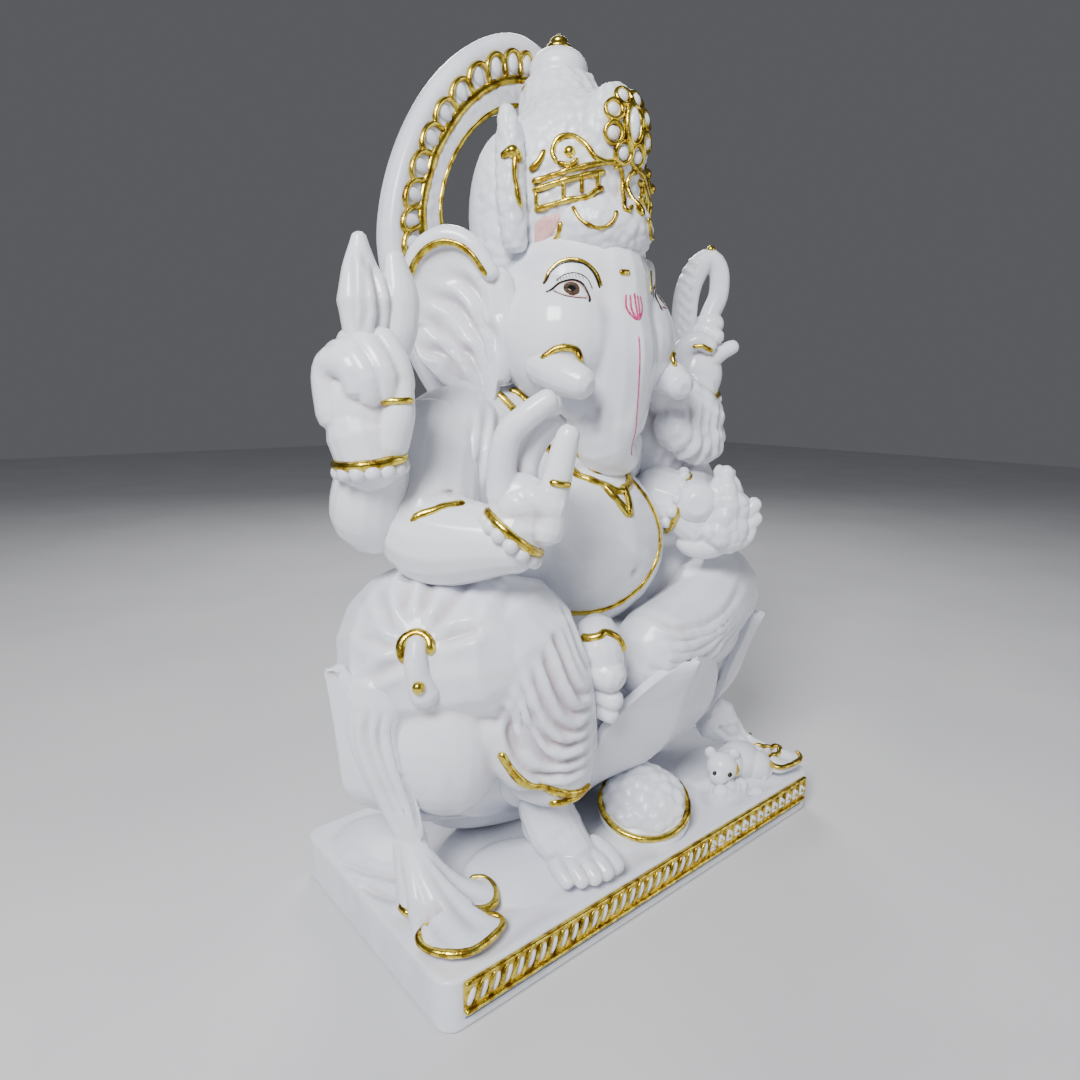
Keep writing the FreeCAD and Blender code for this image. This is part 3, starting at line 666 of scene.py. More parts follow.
@dataclass
class Brush:
    """Lays raised lines and spots on a skin and gathers them into one piece."""

    skin: Skin
    wobble: float = 0.1
    strokes: list[bpy.types.Object] = field(default_factory=list)

    def line(self, points: Path, width: float = 3.0, height: float = 1.1, closed: bool = False,
             sink: float = 0.5) -> "Brush":
        """Lays a raised line.

        Args:
            points: the line's course, near the skin.
            width: its width.
            height: how far its middle stands above the skin.
            closed: whether it runs back to its start.
            sink: how deep its edges go into the skin.

        Returns:
            This brush.
        """
        course = smooth_path(points, max(0.6, width / 3), closed)
        course, normals = self.skin.nearest(course)
        for _ in range(3):
            if closed:
                course = (np.roll(course, 1, 0) + 2 * course + np.roll(course, -1, 0)) / 4
                normals = (np.roll(normals, 1, 0) + normals + np.roll(normals, -1, 0)) / 3
            else:
                course[1:-1] = (course[:-2] + 2 * course[1:-1] + course[2:]) / 4
                normals[1:-1] = (normals[:-2] + normals[1:-1] + normals[2:]) / 3
        normals = unit(normals)
        if closed:
            tangents = unit(np.roll(course, -1, 0) - np.roll(course, 1, 0))
        else:
            tangents = unit(np.gradient(course, axis=0))
        across = unit(np.cross(tangents, normals))
        along = np.r_[0, np.cumsum(np.linalg.norm(np.diff(course, axis=0), axis=1))]
        swell = np.array([1 + self.wobble * noise.noise(Vector((value / 5, width, points[0][0]))) * 2
                          for value in along])
        if not closed:
            inset = np.minimum(along, along[-1] - along) / (width / 2)
            swell *= np.sqrt(np.clip(1 - (1 - np.clip(inset, 0.06, 1)) ** 2, 0.02, 1))
        sides = 8
        angles = np.arange(sides) * 2 * math.pi / sides
        lift = np.where(np.sin(angles) > 0, np.sin(angles) * height, np.sin(angles) * sink)
        rings = (course[:, None, :]
                 + (swell * width / 2)[:, None, None] * np.cos(angles)[None, :, None] * across[:, None, :]
                 + swell[:, None, None] * lift[None, :, None] * normals[:, None, :])
        self.strokes.append(mesh_piece("stroke", rings.reshape(-1, 3), ring_faces(len(course), sides, closed)))
        return self

    def spot(self, centre: Point, radii: Point | float, turn: Point = (0.0, 0.0, 0.0)) -> "Brush":
        """Sets an egg-shaped bead on the skin's nearest point."""
        where, _ = self.skin.nearest(np.array([centre], float))
        self.strokes.append(egg(tuple(where[0]), radii, turn, 14, 8))
        bpy.ops.object.shade_smooth()
        return self

    def patch(self, outline: Path, height: float = 0.2, spacing: float = 0.8) -> "Brush":
        """Fills an outline with a thin coat that follows the skin.

        Args:
            outline: the closed outline, near the skin.
            height: how far the coat stands above the skin.
            spacing: the distance between points round the outline.

        Returns:
            This brush.
        """
        edge = smooth_path(outline, spacing, closed=True)
        middle = edge.mean(axis=0)
        rings = [middle[None] + (edge - middle) * share for share in (1.0, 0.8, 0.55, 0.28)]
        rows = np.vstack([*rings, middle[None]])
        hits, normals = self.skin.nearest(rows)
        count = len(edge)
        lift = np.full(len(rows), height)
        lift[:count] = -0.1
        top = hits + normals * lift[:, None]
        faces = ring_faces(4, count, False, capped=False)
        last = 3 * count
        faces += [[last + side, last + (side + 1) % count, len(rows) - 1] for side in range(count)]
        bottom = hits[:count] - normals[:count] * 0.5
        base = len(top)
        top = np.vstack([top, bottom])
        faces += [[side, base + side, base + (side + 1) % count, (side + 1) % count] for side in range(count)]
        faces.append([base + side for side in range(count)][::-1])
        self.strokes.append(mesh_piece("stroke", top, faces))
        return self

    def gather(self, name: str, finish: Finish, replaces: Iterable[str] = ()) -> bpy.types.Object:
        """Joins the strokes into one piece."""
        piece = join(name, self.strokes)
        self.strokes = []
        return place(piece, finish, replaces)


def arc_points(centre: Point, radius: float, start: float, end: float, count: int,
               across: Point = (1.0, 0.0, 0.0), up: Point = (0.0, 0.0, 1.0), tall: float = 1.0) -> list[Point]:
    """Points on an arc, from one angle in degrees to another, in the plane of two directions."""
    rows = []
    for angle in np.radians(np.linspace(start, end, count)):
        rows.append(tuple(np.array(centre) + radius * math.cos(angle) * np.array(across)
                          + radius * tall * math.sin(angle) * np.array(up)))
    return rows


@dataclass
class Local:
    """A hand's own directions: across and up as its viewer sees them, and out towards the viewer."""

    origin: Point
    heading: float = 40.7

    @property
    def turn(self) -> Point:
        """The turn that lines a lump up with the hand."""
        return (0.0, 0.0, -self.heading)

    def at(self, across: float, up: float, out: float = 0.0) -> Point:
        """The point so far across, up and out from the origin."""
        turn = math.radians(self.heading)
        x, y, z = self.origin
        return (x + across * math.cos(turn) - out * math.sin(turn),
                y - across * math.sin(turn) - out * math.cos(turn), z + up)

    @property
    def towards(self) -> Point:
        """The direction out towards the viewer."""
        turn = math.radians(self.heading)
        return (-math.sin(turn), -math.cos(turn), 0.0)

    def path(self, *rows: Point) -> list[Point]:
        """Several such points."""
        return [self.at(*row) for row in rows]


# ------------------------------------------------------------------ the plinth


@dataclass
class Plinth:
    """The slab: softly carved water on top, a gilded frieze of leaves and flowers in front."""

    width: float = 280.0
    depth: float = 145.0
    height: float = 25.0
    frieze_low: float = 8.5
    frieze_high: float = 23.5
    leaf_pitch: float = 6.5
    flower_pitch: float = 7.6
    leaves_until: float = 30.0

    def build(self) -> None:
        """Makes the slab, its frieze and the painted shade line in its groove."""
        slab = self.slab()
        self.frieze()
        self.groove_shade_line(slab)

    def slab(self) -> bpy.types.Object:
        """The marble slab with its carved top."""
        clay = Clay("plinth_slab", 1.5)
        bpy.ops.mesh.primitive_cube_add(size=MM, location=(0, 0, self.height / 2 * MM),
                                        scale=(self.width, self.depth, self.height))
        block = settle(bpy.context.active_object)
        only(block)
        bpy.ops.object.mode_set(mode="EDIT")
        bpy.ops.mesh.select_mode(type="EDGE")
        bpy.ops.mesh.select_all(action="DESELECT")
        bpy.ops.object.mode_set(mode="OBJECT")
        for edge in block.data.edges:
            a, b = (block.data.vertices[index].co for index in edge.vertices)
            edge.select = abs(a.z - b.z) > self.height / 2 * MM
        bpy.ops.object.mode_set(mode="EDIT")
        bpy.ops.mesh.bevel(offset=9 * MM, segments=8, affect="EDGES")
        bpy.ops.object.mode_set(mode="OBJECT")
        clay.take(block)
        clay.ball((-70, -32, 25), (30, 27, 5.5)).ball((6, -44, 25), (34, 18, 3.5))
        clay.ball((100, -34, 24.5), (38, 28, 4)).ball((-112, 36, 24.5), (24, 28, 3))
        carving = clay.fuse(3)
        swirls = (
            [(-136, 40), (-124, 8), (-106, -4), (-92, 6)],
            [(-136, 14), (-130, -8), (-118, -18)],
            [(-134, -52), (-112, -66), (-84, -64), (-62, -68)],
            [(-40, -68), (-16, -64), (4, -68)],
            [(52, -60), (66, -44), (84, -58)],
            [(60, -66), (88, -64), (112, -68)],
            [(124, 30), (132, 4), (122, -14)],
            [(-100, 62), (-40, 52), (20, 62), (90, 54), (130, 62)],
        )
        for swirl in swirls:
            carving.groove([(x, y, self.height) for x, y in swirl], 3.2, 0.9, 0.6)
        carving.groove([(-134, -73, 5), (-60, -73, 5), (60, -73, 5), (134, -73, 5)], 1.3, 0.9, 0, 0.02)
        return carving.finish(Finish.CARVED, ["plinth"])

    def frieze(self) -> None:
        """The gilded strip with raised white leaves, then round flowers, between two gold ropes."""
        front = -self.depth / 2
        left, right = -self.width / 2 + 9, self.width / 2 - 9
        middle = (self.frieze_low + self.frieze_high) / 2
        rise = self.frieze_high - self.frieze_low
        strip = Clay("frieze", 1).block(((left + right) / 2, front, middle), (right - left, 2.4, rise), soft=0.6)
        ground = strip.lumps[0]
        gold = [ground]
        white = []
        spot = left + self.leaf_pitch / 2
        while spot < self.leaves_until:
            lean = 24 + 5 * noise.noise(Vector((spot, 0, 0)))
            white.append(self.bead((spot, front - 1.3, middle), (1.5, 1.3, 4.3), lean))
            gold.append(self.bead((spot + self.leaf_pitch / 2, front - 1.3, middle), (1.1, 1.5, 6.4), lean))
            spot += self.leaf_pitch
        while spot < right - 2:
            for petal in range(5):
                angle = petal * 2 * math.pi / 5 + 0.3
                white.append(self.bead((spot + 1.9 * math.cos(angle), front - 1.5, middle + 2.1 * math.sin(angle)),
                                       (1.55, 1.3, 1.55), 0))
            gold.append(self.bead((spot, front - 2.4, middle), (0.9, 0.9, 0.9), 0))
            gold.append(self.bead((spot + self.flower_pitch / 2, front - 1.2, middle), (1.1, 1.3, 6.6), 8))
            spot += self.flower_pitch
        brush = Brush(Skin(ground))
        for level in (self.frieze_high - 0.6, self.frieze_low + 0.6):
            brush.line([(left, front - 1.2, level), (0, front - 1.2, level), (right, front - 1.2, level)], 2.2, 1.5)
        gold_piece = join("frieze_gilding", [*gold, *brush.strokes])
        place(gold_piece, Finish.GOLD, ["plinth_frieze"])
        place(join("frieze_leaves_and_flowers", white), Finish.CARVED)

    def bead(self, centre: Point, radii: Point, lean: float) -> bpy.types.Object:
        """A small raised oval that leans to the right by so many degrees."""
        piece = egg(centre, radii, (0.0, lean, 0.0), 10, 6)
        bpy.ops.object.shade_smooth()
        return piece

    def groove_shade_line(self, slab: bpy.types.Object) -> None:
        """The thin blue-grey line in the moulding's groove: painted shade where the groove is shadowed."""
        brush = Brush(Skin(slab))
        front = -self.depth / 2
        # a thin blue-grey line of painted shade along the groove
        brush.line([(-130, front, 5), (0, front, 5), (130, front, 5)], 1.2, 0.15, sink=0.2)
        brush.gather("moulding_groove_shade", Finish.GREY)


# ------------------------------------------------------------------ the lotus seat


@dataclass
class LotusSeat:
    """A swelling bowl wrapped in large pointed petals whose tips flare out."""

    centre: Point = (0.0, 14.0, 86.0)
    radii: Point = (134.0, 50.0, 47.0)
    petal_angles: tuple[float, ...] = (-174, -128, -103, -79, -30, 30, 90, 150)
    proud: tuple[int, ...] = (1, 4, 5)
    petal_wide: float = 27.0

    def build(self) -> None:
        """Makes the bowl and its petals."""
        self.bowl()
        for number, angle in enumerate(self.petal_angles, 1):
            self.petal(number, angle)

    def bowl(self) -> None:
        """The bowl, with its foot on the plinth."""
        x, y, z = self.centre
        clay = Clay("lotus_bowl", 1.7).ball(self.centre, self.radii)
        clay.ball((x, y + 2, 44), (96, 26, 24)).ball((x, y + 4, 108), (116, 48, 22))
        clay.fuse(6, floor=BED).finish(Finish.CARVED, ["lotus_seat"])

    def outside(self, angle: float, height: float) -> np.ndarray:
        """The bowl's surface at an angle in radians and a height, held out past its widest ring."""
        x, y, z = self.centre
        a, b, c = self.radii
        drop = min(height - z, 0.0) / c
        share = math.sqrt(max(0.05, 1 - drop * drop))
        return np.array([x + a * share * math.cos(angle), y + b * share * math.sin(angle), height])

    def petal(self, number: int, turn: float) -> None:
        """One petal: widest at two fifths of its height, with a ridge down its middle and a flared tip."""
        bold = number in self.proud
        low, high = 44.0, 143.0 if number == 1 else 124.0 if bold else 116.0
        rows, columns = 22, 17
        points = []
        for row in range(rows):
            rise = row / (rows - 1)
            wide = self.petal_wide * math.sin(math.pi * min(1, 0.12 + 0.88 * rise) ** 1.15) ** 0.75 + 2.6
            height = low + (high - low) * rise
            flare = (4.0 + (9.0 if number == 1 else 19.0) * rise ** 2) if bold else (1.5 + 3.0 * rise)
            for column in range(columns):
                side = 2 * column / (columns - 1) - 1
                ground = self.outside(math.radians(turn), height)
                radius = np.linalg.norm(ground[:2] - np.array(self.centre[:2]))
                around = math.radians(turn) + math.atan2(side * wide, radius) * (1.0 if radius > 80 else 0.85)
                spot = self.outside(around, height)
                outward = unit(np.array([(spot[0] - self.centre[0]) / self.radii[0] ** 2,
                                         (spot[1] - self.centre[1]) / self.radii[1] ** 2, 0.0]))
                ridge = (7.0 if bold else 1.5) * (1 - abs(side)) ** 1.3 + 1.5 * abs(side) ** 3
                points.append(spot + outward * (flare + ridge) + np.array([0, 0, -6 * side * side * (1 - rise)]))
        faces = []
        for row in range(rows - 1):
            for column in range(columns - 1):
                start = row * columns + column
                faces.append([start, start + 1, start + columns + 1, start + columns])
        piece = mesh_piece(f"seat_petal_{number}", np.array(points), faces)
        apply_modifier(piece, "SOLIDIFY", thickness=5.0 * MM, offset=-1.0 if self.faces_out(piece) else 1.0)
        melt(piece, 1.1, 3).finish(Finish.CARVED, [f"lotus_petal_{number}"])

    def faces_out(self, piece: bpy.types.Object) -> bool:
        """Whether a sheet's normals point away from the seat's axis."""
        middle = piece.data.polygons[len(piece.data.polygons) // 2]
        outward = Vector((middle.center.x, middle.center.y - self.centre[1] * MM, 0))
        return middle.normal.dot(outward) > 0


# ------------------------------------------------------------------ the legs and feet


@dataclass
class Legs:
    """The draped legs: the right knee raised with its foot down, the left leg folded across."""

    voxel: float = 1.3
    u_folds: int = 7
    lap_folds: int = 6

    def build(self) -> dict[str, bpy.types.Object]:
        """Makes the legs, the lap and the feet, and returns them by name."""
        made = {"lap": self.lap(), "right": self.right(), "left": self.left()}
        made["right_foot"] = self.right_foot()
        made["left_foot"] = self.left_foot()
        self.gild(made)
        return made

    def lap(self) -> bpy.types.Object:
        """The cloth across the hips, with hanging folds in front."""
        clay = Clay("lap_cloth", self.voxel).ball((0, 24, 128), (88, 44, 36)).ball((6, -14, 118), (52, 30, 22))
        carving = clay.fuse(8)
        for number in range(5):
            low = 136 - 6 * number
            carving.groove([(-30, -36, low + 8), (-8, -44, low - 2), (18, -46, low - 6), (44, -40, low)], 2.4, 1.3)
        return carving.finish(Finish.CARVED, ["hips"])

    def right(self) -> bpy.types.Object:
        """The raised right leg: U-shaped folds down the shin and a fan of folds at the hip."""
        clay = Clay("right_leg_cloth", self.voxel)
        clay.limb([(-55, 28, 128), (-98, 10, 140), (-86, -18, 144)], [42, 43, 36])
        clay.limb([(-70, -22, 144), (-62, -30, 124), (-56, -34, 100), (-54, -35, 84)], [36, 32, 27, 25])
        clay.limb([(-90, -34, 112), (-84, -38, 100), (-76, -42, 90)], [12, 11, 12])
        clay.ball((-98, -8, 104), (30, 34, 44)).ball((-84, -2, 92), (40, 30, 30))
        carving = clay.fuse(9)
        shin = Local((-58.0, -60.0, 100.0))
        for number in range(self.u_folds):
            low = -12 + 7.6 * number
            start = -30 + 4.6 * number
            carving.groove(shin.path((start - 3, low + 40 - number, 0), (start, low + 26, 0), (start + 7, low + 8, 0),
                                     (start + 17 - number, low, 0), (12, low, 0)), 2.0, 2.6, 0.5, 0.2, shin.towards)
        hip = Local((-122.0, -26.0, 157.0))
        for angle in (215, 178, 142, 112, 82, 50, 18):
            turn = math.radians(angle)
            carving.groove(hip.path(*((reach * math.cos(turn), reach * math.sin(turn), 0)
                                      for reach in (5, 14, 24, 34))), 2.6, 2.2, 0.5, 0.35, hip.towards)
        return carving.finish(Finish.CARVED, ["right_thigh", "right_shin"])

    def left(self) -> bpy.types.Object:
        """The folded left leg: folds hang between the belly and the knee."""
        clay = Clay("left_leg_cloth", self.voxel)
        clay.limb([(50, 30, 130), (106, 6, 138)], [40, 37])
        clay.limb([(108, -6, 138), (66, -30, 134), (16, -40, 130)], [33, 25, 21])
        clay.ball((70, -10, 114), (58, 30, 26)).ball((20, -38, 118), (26, 18, 24))
        carving = clay.fuse(10)
        knee = Local((60.0, -40.0, 130.0))
        for number in range(self.lap_folds):
            drop = 7.0 * number
            carving.groove(knee.path((-36 - 2 * number, 22 - drop, 0), (-20, 14 - drop, 0), (-2, 10.5 - drop, 0),
                                     (16, 15 - drop * 0.8, 0), (32 + number, 26 - drop * 0.7, 0)),
                           2.5, 2.5, 0.45, 0.32, knee.towards)
        return carving.finish(Finish.CARVED, ["left_thigh", "left_shin"])

    def right_foot(self) -> bpy.types.Object:
        """The right foot, flat on its mound, its five toes forward."""
        clay = Clay("right_foot_carved", 0.8)
        clay.limb([(-52, -30, 54), (-50, -38, 42), (-49, -48, 36)], [14, 14.5, 12])
        clay.ball((-49, -52, 33), (16, 13, 8)).ball((-47, -24, 38), (12, 13, 11))
        toes = ((-36, 70, 5.2), (-43.5, 71.5, 4.4), (-50.5, 70.5, 4.2), (-57, 68, 4.0), (-63, 64, 3.8))
        for x, reach, thick in toes:
            clay.limb([(x * 0.96 - 2, -52, 36), (x, -reach + 9, 35), (x, -reach + 3, 32)],
                      [thick, thick, thick * 0.95])
        return clay.fuse(3).finish(Finish.POLISHED, ["right_foot"], 1.4)

    def left_foot(self) -> bpy.types.Object:
        """The left foot, hanging in front of the lap with its toes stacked."""
        clay = Clay("left_foot_carved", 0.8)
        foot = Local((-21.0, -52.0, 110.0))
        clay.limb(foot.path((-12, 35, -5), (-11, 29, 0), (-9, 21, 3)), [11, 13, 11])
        for across, up, thick in ((-6, 18, 9.4), (-4, 5, 6), (-5, -3, 4.8)):
            clay.limb(foot.path((across - 12, up + 4, 0), (across - 3, up + 1, 6), (across, up, 8)),
                      [thick, thick, thick * 0.95])
        clay.limb(foot.path((-22, 24, -6), (-16, 6, -4), (-12, -2, -2)), [12, 10, 6])
        return clay.fuse(3).finish(Finish.POLISHED, ["left_foot"], 1.4)

    def gild(self, made: dict[str, bpy.types.Object]) -> None:
        """The gilded hem and anklets, and the crescent at the hip."""
        brush = Brush(Skin(made["right"], made["right_foot"]))
        hem = [(-92, -46, 104), (-88, -50, 94), (-82, -54, 86), (-74, -58, 79), (-64, -62, 75), (-52, -62, 73),
               (-42, -58, 73)]
        brush.line(hem, 4.6, 1.8)
        brush.line([(-70, -56, 68), (-61, -60, 66), (-51, -61, 65), (-43, -58, 66)], 6.4, 2.2)
        hip = Local((-122.0, -26.0, 155.0))
        brush.line(hip.path((-5, -6, 3), (-7.5, 2, 2), (-4, 8, 2), (2, 9, 2), (6, 6, 2), (6.5, -2, 3)), 5.0, 2.4)
        left = Brush(Skin(made["left"], made["left_foot"], made["lap"]), strokes=brush.strokes)
        foot = Local((-21.0, -52.0, 110.0))
        left.line(foot.path((-26, 43, 9), (-20, 40, 10), (-12, 41, 11), (-8, 45, 10), (1, 44, 9), (10, 38, 8),
                            (14, 30, 8)), 4.4, 1.8)
        left.gather("anklet_gilding", Finish.GOLD, ["gold_anklets"])


# ------------------------------------------------------------------ the body


def ring_path(centre: Point, axis: Point, radius: float, count: int = 14, squash: float = 1.0) -> list[Point]:
    """Points on a ring about an axis, squashed across its second direction."""
    along = unit(np.array(axis, float))
    first = unit(np.cross(along, np.array([0.13, 0.2, 1.0])))
    second = np.cross(along, first)
    return arc_points(centre, radius, 0, 360 * (1 - 1 / count), count, tuple(first), tuple(second), squash)


@dataclass
class Torso:
    """The bare torso with its round belly, its collar, pendant and waist cord."""

    navel: Point = (2.0, -41.0, 172.0)

    def build(self) -> bpy.types.Object:
        """Makes the torso and its gilded lines, and returns the torso."""
        clay = Clay("torso_carved", 1.3).ball((0, 10, 182), (55, 51, 50)).ball((0, 24, 228), (62, 36, 42))
        clay.limb([(-60, 26, 246), (0, 22, 250), (60, 26, 246)], [22, 24, 22])
        carving = clay.fuse(10)
        carving.dent(self.navel, 3.0, 3.2)
        torso = carving.finish(Finish.POLISHED, ["torso"])
        self.gild(torso)
        return torso

    def gild(self, torso: bpy.types.Object) -> None:
        """The collar's two bands, the folded pendant and the cord round the belly."""
        collar = Brush(Skin(torso))
        collar.line([(-42, 12, 268), (-37, 6, 262), (-33, -2, 254), (-28, -6, 246), (-18, -14, 236), (0, -22, 229),
                     (18, -14, 236), (28, -6, 246), (37, 6, 262)], 3.8, 1.6)
        collar.line([(-52, 14, 268), (-47, 6, 259), (-41, -2, 250), (-32, -10, 238), (-18, -18, 226),
                     (-9, -24, 219), (0, -28, 214), (12, -24, 219), (22, -16, 228), (40, -2, 248)], 4.4, 1.8)
        collar.line([(-9, -24, 219), (-6, -30, 212), (-1, -37, 202)], 4.6, 2.4)
        collar.line([(4, -26, 218), (3, -30, 212), (-1, -37, 202)], 4.2, 2.2)
        collar.gather("collar_and_pendant", Finish.GOLD, ["collar"])
        cord = Brush(Skin(torso))
        cord.line([(14, -19, 221), (19, -27, 212), (24, -33, 201), (26, -36, 190), (24, -38, 180), (18, -39, 170),
                   (8, -37, 161), (-3, -33, 155), (-16, -28, 151), (-30, -21, 151), (-42, -12, 156),
                   (-50, 2, 160), (-51, 18, 161)], 3.4, 1.4)
        cord.gather("waist_cord_gilding", Finish.GOLD, ["waist_cord"])


@dataclass
class Head:
    """The elephant head: skull, cheeks, trunk and tusks, with painted eyes and forehead marks."""

    eye: Point = (-32.0, -23.0, 313.5)
    eye_scale: float = 1.16

    def build(self) -> bpy.types.Object:
        """Makes the head, the tusks and the painting, and returns the head."""
        clay = Clay("head_and_trunk", 1.1).ball((0, 8, 312), (43, 41, 44)).ball((0, 2, 268), (30, 30, 20))
        for side in (-1, 1):
            clay.ball((22 * side, -2, 292), (30, 32, 34)).ball((17 * side, -14, 262), (13, 13, 12))
        clay.limb([(0, -8, 322), (0, -12, 300), (0, -17, 284), (0, -16, 262), (-1, -16, 247), (1, -16, 237),
                   (12, -14, 232), (25, -8, 238)], [26, 26, 25, 23, 20.5, 16, 12, 9])
        carving = clay.fuse(12)
        for side in (-1, 1):
            carving.groove([(13 * side, -26, 262), (14.5 * side, -26, 252), (14 * side, -24, 243)], 2.2, 1.6, 0.3)
        head = carving.finish(Finish.POLISHED, ["head", "trunk"])
        self.tusks(head)
        for side in (-1, 1):
            self.paint_eye(head, side)
        self.paint_marks(head)
        return head

    def tusks(self, head: bpy.types.Object) -> None:
        """The two short tusks, each under a gilded crescent."""
        names = ("right_tusk", "left_tusk")
        for side, name in zip((-1, 1), names):
            clay = Clay(f"{name}_carved", 0.8)
            clay.limb([(40 * side, -14, 277), (38 * side, -26, 273), (36 * side, -34, 270)], [10, 10, 8.4])
            carving = clay.fuse(4)
            tusk = place(carving.piece, Finish.POLISHED, [name])
            brush = Brush(Skin(head, tusk))
            brush.line([(47 * side, -18, 279), (45 * side, -23, 284), (41 * side, -28, 286),
                        (36 * side, -32, 285), (33 * side, -35, 282)], 3.6, 1.8)
            brush.gather(f"{name}_gilding", Finish.GOLD)

    def paint_eye(self, head: bpy.types.Object, side: int) -> None:
        """One painted eye: iris, pupil, a gold painted highlight, lids, lashes and brow.

        Args:
            head: the head it is painted on.
            side: -1 for the figure's right eye, 1 for its left.
        """
        x, y, z = self.eye
        skin = Skin(head)
        middle, facing = skin.nearest(np.array([(x, y, z)], float))
        across = unit(np.cross(np.array([0.0, 0.0, 1.0]), facing[0]))
        upward = unit(np.cross(facing[0], across))

        def at(right: float, up: float) -> Point:
            """A point so far towards the trunk and up from the eye's middle."""
            spot = middle[0] + (across * right + upward * up) * self.eye_scale
            return (float(spot[0]) * -side, float(spot[1]), float(spot[2]))

        def run(*rows: tuple[float, float]) -> list[Point]:
            """Several such points."""
            return [at(*row) for row in rows]

        black, brown, gold, white, rose = (Brush(skin, 0.0) for _ in range(5))
        rose.patch(run((-9, 0), (-4, 3.6), (1.5, 4.6), (6, 2), (8.5, -4.5), (3, -5.2), (-4, -4)), 0.12)
        white.patch(run((-8.4, 0), (-4, 3.2), (1.5, 4.2), (5.6, 1.6), (7.6, -3.6), (2.5, -4.4),
                     (-4, -3.2)), 0.2)
        brown.patch(run((-3.9, 0), (-2.8, 3), (0.3, 4.1), (3.4, 3), (4.2, 0), (3, -3.2), (0.2, -4.3),
                     (-2.9, -3)), 0.3)
        black.patch(run((-2.1, 0.2), (0.2, 2.5), (2.5, 0.2), (0.2, -2.1)), 0.4)
        # a tiny gold dot on the pupil: a painted highlight standing for the eye's glint
        gold.spot(at(0.2, 0.4), 0.35)
        black.line(run((-11.5, -0.2), (-8.2, 0.6), (-4, 3.7), (1.5, 4.8), (5.8, 2.2), (8, -4.2),
                    (7.2, -6)), 1.3, 0.45)
        black.line(run((-8, -0.2), (-4, -3.4), (1, -4.7), (6.4, -4.4)), 0.55, 0.3)
        black.line(run((-6, 5.2), (-2, 7.4), (3, 7.9), (7.4, 5.4), (9.5, 0.5)), 0.55, 0.3)
        for lash in range(9):
            step = -5.0 + 1.35 * lash
            rise = 4.4 + 2.6 * math.sin(math.pi * (lash + 2) / 13)
            black.line(run((step, rise - 1.3), (step - 0.2, rise), (step - 0.5, rise + 1.4)), 0.3, 0.2)
        gold.line(run((-12, 5.8), (-8, 10.5), (-1, 14), (6, 13.2), (11, 8.5), (13.4, 2)), 1.9, 0.6)
        black.line(run((-12, 5), (-8, 9.6), (-1, 12.9), (6, 12.1), (10.4, 7.6), (12.7, 1)), 1.1, 0.5)
        tag = "right" if side < 0 else "left"
        rose.gather(f"{tag}_eye_rose", Finish.ROSE)
        white.gather(f"{tag}_eye_white", Finish.POLISHED)
        brown.gather(f"{tag}_eye_iris", Finish.BROWN)
        black.gather(f"{tag}_eye_lines", Finish.BLACK)
        gold.gather(f"{tag}_eye_gilding_and_highlight", Finish.GOLD)

    def paint_marks(self, head: bpy.types.Object) -> None:
        """The plain U-shaped forehead mark, the bar above it and the line down the trunk."""
        skin = Skin(head)
        magenta = Brush(skin, 0.05)
        for reach in (5.2, 2.6):
            magenta.line([(-reach - 2, -38, 313), (-reach * 1.15 - 2, -40, 307), (-reach * 0.5 - 2, -42, 303),
                          (-2, -42, 302), (reach * 0.5 - 2, -42, 303), (reach * 1.15 - 2, -40, 307),
                          (reach - 2, -38, 313)], 1.3, 0.3)
        magenta.line([(-2, -38, 314), (-2, -42, 308), (-2, -42, 302)], 1.3, 0.3)
        magenta.line([(-3, -42, 293), (-2, -42, 274), (1, -38, 254), (4, -32, 240), (6, -30, 233)], 0.9, 0.3)
        magenta.gather("forehead_mark", Finish.MAGENTA)
        bar = Brush(skin, 0.05)
        bar.line([(-9, -32, 322.5), (-6, -33, 323), (-3, -34, 323)], 3.2, 1.2)
        bar.gather("forehead_bar", Finish.GOLD)


